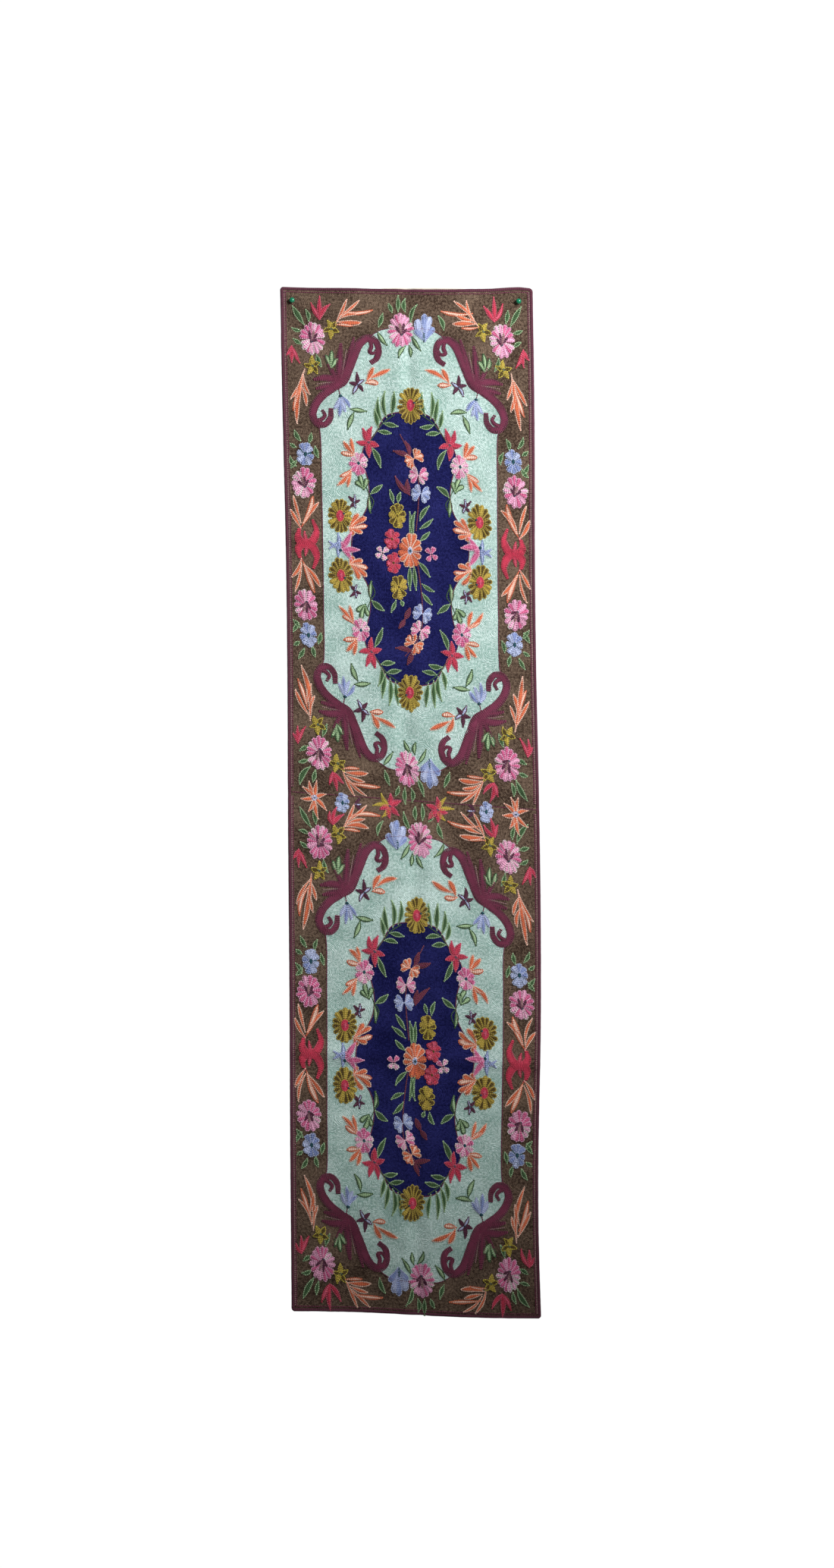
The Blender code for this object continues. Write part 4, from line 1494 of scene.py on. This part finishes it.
@dataclass(frozen=True)
class WhorledGround:
    """Ground filled with fine chain stitch in whorls: speckled up close, cloudy from afar."""

    name: str
    dark: str
    light: str
    whorl_size: float = 0.034
    # Real rows are about 1.6 mm apart. They are drawn at 2.5 mm, so they still show in the render
    row_spacing: float = 0.0025
    cloud_size: float = 0.070
    speckle: float = 0.85
    bend: float = 0.012
    # How much the valleys between rows darken the colour: painted shade
    painted_row_shade: float = 0.16
    cloud_shade: float = 0.32
    relief: float = 0.55
    relief_depth: float = 0.0006
    roughness: float = 0.92
    specular: float = 0.06

    def build(self) -> bpy.types.Material:
        """The ground's material, whose pattern lies on the flat cloth and hangs with it."""
        made, tree, _ = new_material(self.name)
        flat = add_node(tree, "ShaderNodeAttribute", attribute_name="flat_place").outputs["Vector"]
        bent = add_node(tree, "ShaderNodeTexNoise", {"Vector": flat, "Scale": 45.0, "Detail": 2.0})
        pull = {0: bent.outputs["Color"], 1: (self.bend, self.bend, 0.0), 2: flat}
        swing = add_node(tree, "ShaderNodeVectorMath", pull, operation="MULTIPLY_ADD")
        centres = {"Vector": swing.outputs[0], "Scale": 1 / self.whorl_size}
        whorl = add_node(tree, "ShaderNodeTexVoronoi", centres, voronoi_dimensions="2D")
        turns = {0: whorl.outputs["Distance"], 1: 2 * math.pi * self.whorl_size / self.row_spacing}
        phase = add_node(tree, "ShaderNodeMath", turns, operation="MULTIPLY")
        rows = add_node(tree, "ShaderNodeMath", {0: phase.outputs[0]}, operation="SINE")
        cells = {"Vector": flat, "Scale": 1 / self.row_spacing}
        stitches = add_node(tree, "ShaderNodeTexVoronoi", cells, voronoi_dimensions="2D")
        change = {"Vector": flat, "Scale": 1 / self.row_spacing / 1.6, "Detail": 3.0}
        yarn_change = add_node(tree, "ShaderNodeTexNoise", change)
        clouds = {"Vector": flat, "Scale": 1 / self.cloud_size, "Detail": 3.0}
        cloud = add_node(tree, "ShaderNodeTexNoise", clouds)
        height = {0: stitches.outputs["Distance"], 1: -0.9, 2: rows.outputs[0]}
        relief = add_node(tree, "ShaderNodeMath", height, operation="MULTIPLY_ADD")
        # Colour: the speckle first, with painted shade that darkens the valleys between the rows, then the
        # clouds
        half = self.speckle / 2
        shades = {0: yarn_change.outputs["Fac"], 1: 0.30, 2: 0.70, 3: 0.5 - half, 4: 0.5 + half}
        speck = add_node(tree, "ShaderNodeMapRange", shades)
        ribbed = {0: relief.outputs[0], 1: self.painted_row_shade, 2: speck.outputs[0]}
        speck_and_row_shade = add_node(tree, "ShaderNodeMath", ribbed, operation="MULTIPLY_ADD")
        depths = {0: cloud.outputs["Fac"], 1: 0.3, 2: 0.7, 3: -self.cloud_shade, 4: self.cloud_shade}
        clouded = add_node(tree, "ShaderNodeMapRange", depths)
        both = {0: speck_and_row_shade.outputs[0], 1: clouded.outputs[0]}
        total = add_node(tree, "ShaderNodeMath", both, operation="ADD", use_clamp=True)
        colours = {0: total.outputs[0], 6: linear(self.dark), 7: linear(self.light)}
        values = {"Roughness": self.roughness, "Specular IOR Level": self.specular}
        finish_shader(tree, colours, (self.relief, self.relief_depth, relief.outputs[0]), values)
        return made


@dataclass(frozen=True)
class PlainCotton:
    """Unbleached plain-weave cotton, the cloth that is stitched on: pale, matt, with uneven threads."""

    name: str = "unbleached_cotton_lining"
    # Real threads are about 0.5 mm apart. They are drawn at 1.4 mm, so they still show in the render
    thread_spacing: float = 0.0014
    dark: str = "B9AE98"
    light: str = "DDD5C4"
    # How much the colour darkens between the threads: painted shade
    painted_thread_shade: float = 0.25
    slub_scale: float = 90.0
    relief: float = 0.4
    relief_depth: float = 0.0003
    roughness: float = 0.9

    def build(self) -> bpy.types.Material:
        """The cotton's material, woven along the flat cloth."""
        made, tree, _ = new_material(self.name)
        flat = add_node(tree, "ShaderNodeAttribute", attribute_name="flat_place").outputs["Vector"]
        # A wave texture of scale 1 repeats 20 times in 2 pi metres
        scale = 2 * math.pi / self.thread_spacing / 20
        wave = {"Vector": flat, "Scale": scale, "Distortion": 1.2, "Detail": 1.0, "Detail Scale": 0.3}
        threads = {}
        for way, direction in enumerate(("X", "Y")):
            thread = add_node(tree, "ShaderNodeTexWave", wave, bands_direction=direction)
            threads[way] = thread.outputs["Fac"]
        weave = add_node(tree, "ShaderNodeMath", threads, operation="ADD")
        lumps = {"Vector": flat, "Scale": self.slub_scale, "Detail": 4.0}
        slub = add_node(tree, "ShaderNodeTexNoise", lumps)
        # The weave darkens the colour between the threads, a painted shade, and the slubs vary it at random
        uneven = {0: weave.outputs[0], 1: self.painted_thread_shade, 2: slub.outputs["Fac"]}
        shade = add_node(tree, "ShaderNodeMath", uneven, operation="MULTIPLY_ADD")
        share = add_node(tree, "ShaderNodeMapRange", {0: shade.outputs[0], 1: 0.4, 2: 1.0})
        colours = {0: share.outputs[0], 6: linear(self.dark), 7: linear(self.light)}
        relief = (self.relief, self.relief_depth, weave.outputs[0])
        finish_shader(tree, colours, relief, {"Roughness": self.roughness})
        return made


def inside(points: np.ndarray, ring: np.ndarray) -> np.ndarray:
    """Which flat points lie inside a ring.

    Args:
        points: An (n, 2) array.
        ring: An (m, 2) array of its corners, in order.

    Returns:
        A truth value for each point.
    """
    found = np.zeros(len(points), dtype=bool)
    x, y = points[:, 0], points[:, 1]
    for (ax, ay), (bx, by) in zip(ring, np.roll(ring, -1, axis=0)):
        if ay == by:
            continue
        crosses = ((ay > y) != (by > y)) & (x < (bx - ax) * (y - ay) / (by - ay) + ax)
        found ^= crosses
    return found


@dataclass
class GroundCloth:
    """The cloth itself: brown, mint and navy grounds on its face and plain cotton on its back."""

    cloth: HangingSurface
    cell: float = 0.0064
    clearance: float = 0.0022
    rim: float = 0.0042
    hole_radius: float = 0.00085
    hole_corners: int = 8

    def rings(self) -> list[np.ndarray]:
        """Field and medallion outlines of both panels, then the pin holes."""
        found = []
        for panel in (0, 1):
            found += [closed_outline(FIELD_QUARTER, panel), closed_outline(MEDALLION_QUARTER, panel)]
        for side in (-1, 1):
            x, z = pin_place(side)
            u, v = unhang(PIN_MIDDLE[0] + x / SQUARE, PIN_MIDDLE[1] - z / SQUARE)
            turns = 2 * np.pi * np.arange(self.hole_corners) / self.hole_corners
            across, down = self.hole_radius * np.cos(turns), self.hole_radius * np.sin(turns)
            found.append(np.stack((u + across, v + down), axis=1))
        return found

    def border(self) -> np.ndarray:
        """The cloth's own edge, as evenly spaced places."""
        half = CLOTH_WIDTH / 2 - self.rim
        foot = CLOTH_LENGTH - self.rim
        corners = ((-half, self.rim), (-half, foot), (half, foot), (half, self.rim))
        ring = []
        for start, end in zip(corners, (*corners[1:], corners[0])):
            count = round(math.dist(start, end) / self.cell)
            shares = np.arange(count)[:, None] / count
            ring.append(np.array(start) * (1 - shares) + np.array(end) * shares)
        return np.concatenate(ring)

    def triangles(self, rings: list[np.ndarray]) -> tuple[np.ndarray, np.ndarray]:
        """Triangles of the flat cloth that follow its outlines.

        Args:
            rings: Outlines that edges must follow.

        Returns:
            Flat places (u, v), and triangles that face the room.
        """
        half = CLOTH_WIDTH / 2 - self.rim - self.clearance
        top = self.rim + self.clearance
        rows = np.arange(top, CLOTH_LENGTH - self.rim - self.clearance, self.cell * 0.866)
        grid = []
        for j, v in enumerate(rows):
            across = np.arange(-half + (j % 2) * self.cell / 2, half, self.cell)
            grid.append(np.stack((across, np.full(len(across), v)), axis=1))
        points = np.concatenate(grid)
        fixed = np.concatenate([*rings, self.border()])
        for spot in fixed:
            near = np.abs(points[:, 1] - spot[1]) < self.clearance
            close = near & (np.hypot(points[:, 0] - spot[0], points[:, 1] - spot[1]) < self.clearance)
            points = points[~close]
        places = [*points]
        edges = []
        for ring in (*rings, self.border()):
            first = len(places)
            places += [*ring]
            n = len(ring)
            edges += [(first + i, first + (i + 1) % n) for i in range(n)]
        flat = [Vector((float(u), -float(v))) for u, v in places]
        verts, _, faces, *_ = delaunay_2d_cdt(flat, edges, [], 0, 1e-7)
        spots = np.array([(p.x, -p.y) for p in verts])
        made = np.array([tuple(face) for face in faces])
        a, b, c = (spots[made[:, k]] for k in range(3))
        area = (b[:, 0] - a[:, 0]) * -(c[:, 1] - a[:, 1]) + (b[:, 1] - a[:, 1]) * (c[:, 0] - a[:, 0])
        made[area < 0] = made[area < 0][:, ::-1]
        return spots, made[np.abs(area) > 1e-12]

    def build(self) -> bpy.types.Object:
        """The cloth as one closed sheet."""
        rings = self.rings()
        spots, triangles = self.triangles(rings)
        centres = spots[triangles].mean(axis=1)
        for hole in rings[4:]:
            keep = ~inside(centres, hole)
            triangles, centres = triangles[keep], centres[keep]
        slot = np.zeros(len(triangles), dtype=np.int32)
        for panel in (0, 1):
            slot[inside(centres, rings[panel * 2])] = 1
            slot[inside(centres, rings[panel * 2 + 1])] = 2
        n = len(spots)
        half = PANEL_THICKNESS / 2
        front = self.cloth.place(np.hstack((spots, np.full((n, 1), half))))
        back = self.cloth.place(np.hstack((spots, np.full((n, 1), -half))))
        directed = {(a, b) for face in triangles for a, b in zip(face, np.roll(face, -1))}
        wall = []
        for a, b in directed:
            if (b, a) not in directed:
                wall += [(b, a, a + n), (b, a + n, b + n)]
        faces = np.concatenate((triangles, triangles[:, ::-1] + n, np.array(wall)))
        mesh = bpy.data.meshes.new("embroidered_ground")
        mesh.from_pydata(np.concatenate((front, back)), [], faces)
        slots = np.concatenate((slot, np.full(len(triangles) + len(wall), 3, dtype=np.int32)))
        mesh.polygons.foreach_set("material_index", slots.astype(np.int32))
        flat = np.hstack((np.concatenate((spots, spots)), np.zeros((2 * n, 1))))
        mark_points(mesh, "flat_place", flat)
        for finish in (
            WhorledGround("wool_ground_brown", "3A2C24", "7E6A5A", speckle=1.0),
            WhorledGround("wool_ground_mint", "90B2A8", "D4E9E4", speckle=1.0),
            WhorledGround("wool_ground_navy", "10123F", "2A2C68", speckle=0.9),
            PlainCotton(),
        ):
            mesh.materials.append(finish.build())
        mesh.shade_smooth()
        made = add_piece("embroidered_ground", mesh)
        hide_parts("embroidered_panel")
        return made


@dataclass
class CottonTurning:
    """A sliver of the cotton's turning that peeps out above the edging at the top."""

    cloth: HangingSurface
    cotton: bpy.types.Material
    start: float = -0.046
    end: float = 0.104
    rise: float = 0.0016

    def build(self) -> bpy.types.Object:
        """The turning as one thin closed strip."""
        count = 26
        across = np.linspace(self.start, self.end, count)
        lift = self.rise * np.sin(np.pi * np.linspace(0.0, 1.0, count)) ** 0.5
        corners = ((0.0008, 0.0003), (-1.0, 0.0003), (-1.0, -0.0004), (0.0008, -0.0004))
        rings = []
        for v, height in corners:
            down = -lift if v < 0 else np.full(count, v)
            rings.append(self.cloth.place(np.column_stack((across, down, np.full(count, height)))))
        faces = []
        for k in range(4):
            near, far = k * count, (k + 1) % 4 * count
            faces += [(near + i, near + i + 1, far + i + 1, far + i) for i in range(count - 1)]
        faces += [(0, count, 2 * count, 3 * count), tuple(count - 1 + k * count for k in (3, 2, 1, 0))]
        mesh = bpy.data.meshes.new("cotton_turning")
        mesh.from_pydata(np.concatenate(rings), [], faces)
        flat = np.tile(np.column_stack((across, across, np.zeros(count))), (4, 1))
        mark_points(mesh, "flat_place", flat)
        mesh.materials.append(self.cotton)
        made = add_piece("cotton_turning", mesh)
        return made


@dataclass(frozen=True)
class WoolBraid:
    """Dark maroon wool overcast closely round the edge, ribbed across and matt; its colour is painted
    lighter on the ridges and darker in the grooves between wraps, a painted highlight and painted shade.
    """

    name: str = "maroon_wool_overcasting"
    dark: str = "3F222C"
    light: str = "6E3A4C"
    # One wrap of the wool along the edge
    wrap: float = 0.0022
    rib_height: float = 0.35
    relief: float = 0.6
    relief_depth: float = 0.0005
    roughness: float = 0.88
    specular: float = 0.2
    sheen: float = 0.1

    def build(self) -> bpy.types.Material:
        """The edging's material, ribbed by the attribute that counts along the edge."""
        made, tree, _ = new_material(self.name)
        run = add_node(tree, "ShaderNodeAttribute", attribute_name="edge_run").outputs["Fac"]
        wraps = add_node(tree, "ShaderNodeMath", {0: run, 1: 2 * math.pi / self.wrap}, operation="MULTIPLY")
        ribs = add_node(tree, "ShaderNodeMath", {0: wraps.outputs[0]}, operation="SINE")
        place = add_node(tree, "ShaderNodeTexCoord").outputs["Object"]
        fuzz = add_node(tree, "ShaderNodeTexNoise", {"Vector": place, "Scale": 500.0, "Detail": 3.0})
        ribbed = {0: ribs.outputs[0], 1: self.rib_height, 2: fuzz.outputs["Fac"]}
        height = add_node(tree, "ShaderNodeMath", ribbed, operation="MULTIPLY_ADD")
        # The ribs' height sets the colour too: painted shade in the grooves between wraps and a painted
        # highlight on the ridges, while the fuzz varies it at random
        share = add_node(tree, "ShaderNodeMapRange", {0: height.outputs[0], 1: 0.1, 2: 0.95})
        colours = {0: share.outputs[0], 6: linear(self.dark), 7: linear(self.light)}
        values = {"Roughness": self.roughness, "Specular IOR Level": self.specular}
        values["Sheen Weight"] = self.sheen
        finish_shader(tree, colours, (self.relief, self.relief_depth, height.outputs[0]), values)
        return made


@dataclass
class Edging:
    """The rolled maroon edge, in one ring round the cloth with its four corners rounded."""

    cloth: HangingSurface
    width: float = BINDING_WIDTH
    thickness: float = BINDING_THICKNESS
    corner_radius: float = 0.0062
    station: float = 0.0060
    sides: int = 10
    hand_waver: float = 0.0002

    def path(self) -> tuple[np.ndarray, np.ndarray]:
        """Middle of the edge and the way out of the cloth there, once round."""
        half, foot, radius = CLOTH_WIDTH / 2, CLOTH_LENGTH, self.corner_radius
        left, right, top, low = -half + radius, half - radius, radius, foot - radius
        inner = ((left, top), (right, top), (right, low), (left, low))
        reach = radius - self.width / 2
        points, outs = [], []
        for i, (cx, cy) in enumerate(inner):
            start = math.pi + i * math.pi / 2
            for turn in np.linspace(start, start + math.pi / 2, 6):
                out = (math.cos(turn), math.sin(turn))
                points.append((cx + reach * out[0], cy + reach * out[1]))
                outs.append(out)
            nx, ny = inner[(i + 1) % 4]
            out = (math.cos(start + math.pi / 2), math.sin(start + math.pi / 2))
            count = round(math.dist((cx, cy), (nx, ny)) / self.station)
            for k in range(1, count):
                share = k / count
                x, y = cx + (nx - cx) * share, cy + (ny - cy) * share
                points.append((x + reach * out[0], y + reach * out[1]))
                outs.append(out)
        return np.array(points), np.array(outs)

    def build(self) -> bpy.types.Object:
        """The edge as one closed tube, flattened towards the cloth."""
        points, outs = self.path()
        n = len(points)
        steps = np.linalg.norm(np.diff(points, axis=0, append=points[:1]), axis=1)
        run = np.concatenate(([0.0], np.cumsum(steps)[:-1]))
        hand = np.random.default_rng(SEED)
        waver = hand.uniform(-1, 1, n) * self.hand_waver
        rings = []
        for k in range(self.sides):
            turn = 2 * math.pi * k / self.sides
            reach = (self.width / 2 + waver * 0.5) * math.cos(turn)
            rise = (self.thickness / 2 + waver * 0.3) * math.sin(turn)
            flat = np.column_stack((points + outs * reach[:, None], rise))
            rings.append(self.cloth.place(flat))
        faces = []
        for k in range(self.sides):
            m = (k + 1) % self.sides
            for i in range(n):
                j = (i + 1) % n
                faces.append((k * n + i, k * n + j, m * n + j, m * n + i))
        mesh = bpy.data.meshes.new("rolled_edging")
        mesh.from_pydata(np.concatenate(rings), [], faces)
        mark_points(mesh, "edge_run", np.tile(run, self.sides))
        mesh.materials.append(WoolBraid().build())
        mesh.shade_smooth()
        made = add_piece("rolled_edging", mesh)
        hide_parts("binding_top", "binding_bottom", "binding_left", "binding_right")
        return made


@dataclass(frozen=True)
class MouldedPlastic:
    """Glossy green polystyrene, injection moulded: a clear highlight over an even colour."""

    name: str = "moulded_green_polystyrene"
    colour: str = "0F7A55"
    relief: float = 0.06
    relief_depth: float = 0.0001
    roughness: float = 0.18
    ior: float = 1.59

    def build(self) -> bpy.types.Material:
        """The pin heads' material, with the faint flow marks of moulding."""
        made, tree, _ = new_material(self.name)
        place = add_node(tree, "ShaderNodeTexCoord").outputs["Object"]
        flow = add_node(tree, "ShaderNodeTexNoise", {"Vector": place, "Scale": 300.0, "Detail": 2.0})
        base = np.array(linear(self.colour)[:3])
        colours = {0: flow.outputs["Fac"], 6: (*(base * 0.85), 1.0), 7: (*(base * 1.12), 1.0)}
        values = {"Roughness": self.roughness, "IOR": self.ior}
        finish_shader(tree, colours, (self.relief, self.relief_depth, flow.outputs["Fac"]), values)
        return made


@dataclass(frozen=True)
class DrawnSteel:
    """Bright drawn steel wire with fine lines along it."""

    name: str = "drawn_steel_wire"
    colour: str = "C3C6CB"

    def build(self) -> bpy.types.Material:
        """The needles' material."""
        made, tree, shader = new_material(self.name)
        place = add_node(tree, "ShaderNodeTexCoord").outputs["Object"]
        drawn = add_node(tree, "ShaderNodeMapping", {"Vector": place, "Scale": (6000.0, 150.0, 6000.0)})
        grain = {"Vector": drawn.outputs[0], "Scale": 1.0, "Detail": 2.0}
        lines = add_node(tree, "ShaderNodeTexNoise", grain)
        rough = add_node(tree, "ShaderNodeMapRange", {0: lines.outputs["Fac"], 3: 0.18, 4: 0.38})
        tree.links.new(rough.outputs[0], shader.inputs["Roughness"])
        shader.inputs["Base Color"].default_value = linear(self.colour)
        shader.inputs["Metallic"].default_value = 1.0
        return made


@dataclass
class PushPins:
    """The two push pins: turned plastic heads on steel needles."""

    steps: int = 40
    # (radius, distance out from the foot), in metres
    profile: Table = (
        (0.00085, 0.0), (0.0028, 0.0), (0.0031, 0.00012), (0.0032, 0.0004), (0.0030, 0.0007),
        (0.00272, 0.0010), (0.00270, 0.0013), (0.0030, 0.0019), (0.00388, 0.0026), (0.00455, 0.0034),
        (0.00484, 0.0043), (0.00488, 0.0049), (0.00470, 0.0057), (0.00425, 0.0065), (0.00350, 0.0073),
        (0.00245, 0.0079), (0.00120, 0.00815),
    )
    # The needle's bore goes this far into the head
    bore_radius: float = 0.00085
    bore_depth: float = 0.0044

    def build(self) -> list[bpy.types.Object]:
        """Both heads, and the steel finish on both needles."""
        plastic = MouldedPlastic().build()
        steel = DrawnSteel().build()
        made = []
        for side, word in ((-1, "left"), (1, "right")):
            head = self.build_head(side, word, plastic)
            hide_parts(f"pin_head_{word}")
            made.append(head)
            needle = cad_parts[f"pin_needle_{word}"]
            needle.data.materials.clear()
            needle.data.materials.append(steel)
        return made

    def build_head(self, side: int, word: str, plastic: bpy.types.Material) -> bpy.types.Object:
        """One head, turned about the needle.

        Args:
            side: -1 for the left one and 1 for the right one. Not used.
            word: The same in words.
            plastic: Its material.

        Returns:
            The head.
        """
        low, high = (Vector(corner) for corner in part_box(f"pin_head_{word}"))
        middle = (low + high) / 2
        foot, crown = high.y, low.y
        points = [(middle.x, foot - self.bore_depth, middle.z)]
        rings = [(self.bore_radius, self.bore_depth), *self.profile]
        for radius, out in rings:
            for k in range(self.steps):
                turn = 2 * math.pi * k / self.steps
                y = foot - out
                points.append((middle.x + radius * math.cos(turn), y, middle.z + radius * math.sin(turn)))
        points.append((middle.x, crown, middle.z))
        faces = []
        last = len(points) - 1
        for k in range(self.steps):
            m = (k + 1) % self.steps
            faces.append((0, 1 + m, 1 + k))
            for ring in range(len(rings) - 1):
                near, far = 1 + ring * self.steps, 1 + (ring + 1) * self.steps
                faces.append((near + k, near + m, far + m, far + k))
            near = 1 + (len(rings) - 1) * self.steps
            faces.append((near + k, near + m, last))
        mesh = bpy.data.meshes.new(f"push_pin_head_{word}")
        mesh.from_pydata(points, [], faces)
        mesh.materials.append(plastic)
        mesh.shade_smooth()
        return add_piece(f"push_pin_head_{word}", mesh)


@dataclass
class PhotoRoom:
    """The plain white room: a soft lamp high on the right, two weak ones, a floor and the camera."""

    camera_distance: float = 4.5
    frame_height: float = 2.811
    frame_middle: tuple[float, float] = (0.0211, -0.8650)
    sensor: float = 36.0
    floor_height: float = -3.25
    floor_half: float = 2.2
    floor_glow: float = 0.45
    sky_strength: float = 0.15
    key_place: Spot = (1.9, -2.7, 0.9)
    key_aim: Spot = (0.05, 0.0, -0.35)
    key_power: float = 588.0
    key_size: float = 0.30
    key_spread: float = 47.0
    rake_place: Spot = (2.2, -0.9, 0.9)
    rake_power: float = 110.0
    rake_size: float = 0.25
    rear_place: Spot = (0.9, 2.6, 0.4)
    rear_aim: Spot = (0.0, 0.0, -0.8)
    rear_power: float = 70.0
    rear_size: float = 1.5

    def add_lamp(
        self, name: str, kind: str, power: float, place: Spot, aim: Spot | None = None
    ) -> bpy.types.Light:
        """Hangs a lamp in the room.

        Args:
            name: Its name.
            kind: Blender's type name of the lamp.
            power: Its power in watts.
            place: Where it hangs.
            aim: What it points at, unless it shines all round.

        Returns:
            The lamp's data.
        """
        lamp = bpy.data.lights.new(name, kind)
        lamp.energy = power
        hung = bpy.data.objects.new(name, lamp)
        hung.location = place
        if aim is not None:
            hung.rotation_euler = (Vector(aim) - hung.location).to_track_quat("-Z", "Y").to_euler()
        bpy.context.scene.collection.objects.link(hung)
        return lamp

    def build(self) -> None:
        """Floor, sky, light and camera."""
        scene = bpy.context.scene
        scene.view_settings.view_transform = "Standard"
        self.build_floor()
        self.build_sky(scene)
        # The lamp's soft rim leaves the cloth's foot in half light
        key = self.add_lamp("soft_key", "SPOT", self.key_power, self.key_place, self.key_aim)
        key.spot_size = math.radians(self.key_spread)
        key.spot_blend = 1.0
        key.shadow_soft_size = self.key_size
        # A weak lamp high on the right rakes across the folds, and one behind lights the back
        rake = self.add_lamp("raking_lamp", "POINT", self.rake_power, self.rake_place)
        rake.shadow_soft_size = self.rake_size
        rear = self.add_lamp("rear_fill", "AREA", self.rear_power, self.rear_place, self.rear_aim)
        rear.size = self.rear_size
        view = bpy.data.cameras.new("front_view")
        view.sensor_fit = "VERTICAL"
        view.sensor_height = self.sensor
        view.lens = self.sensor * self.camera_distance / self.frame_height
        camera = bpy.data.objects.new("front_view", view)
        camera.location = (self.frame_middle[0], -self.camera_distance, self.frame_middle[1])
        camera.rotation_euler = (math.pi / 2, 0.0, 0.0)
        scene.collection.objects.link(camera)
        scene.camera = camera

    def build_floor(self) -> None:
        """A pale matt floor, below what the camera takes in."""
        mesh = bpy.data.meshes.new("pale_floor")
        z, half = self.floor_height, self.floor_half
        corners = [(-half, -half, z), (half, -half, z), (half, half, z), (-half, half, z)]
        mesh.from_pydata(corners, [], [(0, 1, 2, 3)])
        made, tree, shader = new_material("pale_matt_floor")
        place = add_node(tree, "ShaderNodeTexCoord").outputs["Object"]
        grain = add_node(tree, "ShaderNodeTexNoise", {"Vector": place, "Scale": 60.0, "Detail": 3.0})
        ends = {0: grain.outputs["Fac"], 6: linear("EDECE8"), 7: linear("F4F3F0")}
        colour = add_node(tree, "ShaderNodeMix", ends, data_type="RGBA")
        tree.links.new(colour.outputs[2], shader.inputs["Base Color"])
        shader.inputs["Roughness"].default_value = 0.9
        # The lamps leave the floor dim, so it glows a little, but lights nothing else
        shader.inputs["Emission Color"].default_value = linear("F4F3F0")
        shader.inputs["Emission Strength"].default_value = self.floor_glow
        mesh.materials.append(made)
        floor = bpy.data.objects.new("pale_floor", mesh)
        floor.visible_diffuse = False
        bpy.context.scene.collection.objects.link(floor)

    def build_sky(self, scene: bpy.types.Scene) -> None:
        """White surroundings: seen as pure white, and a little dimmer as light."""
        world = bpy.data.worlds.new("white_room")
        world.use_nodes = True
        tree = world.node_tree
        sky = tree.nodes["Background"]
        sky.inputs["Color"].default_value = (1.0, 1.0, 1.0, 1.0)
        path = add_node(tree, "ShaderNodeLightPath")
        seen = {0: path.outputs["Is Camera Ray"], 3: self.sky_strength, 4: 1.02}
        strength = add_node(tree, "ShaderNodeMapRange", seen)
        tree.links.new(strength.outputs[0], sky.inputs["Strength"])
        scene.world = world


def main() -> None:
    """Builds the hanging piece by piece and the room round it."""
    logging.basicConfig(level=logging.INFO, format="%(message)s")
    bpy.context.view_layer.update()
    PhotoRoom().build()
    ground = GroundCloth(CLOTH).build()
    edging = Edging(CLOTH).build()
    turning = CottonTurning(CLOTH, ground.data.materials[3]).build()
    chain = ChainRows()
    motifs = Motifs(CLOTH, chain, YarnBasket()).build()
    PushPins().build()
    bpy.data.objects.remove(chain.link)


if __name__ == "__main__":
    main()
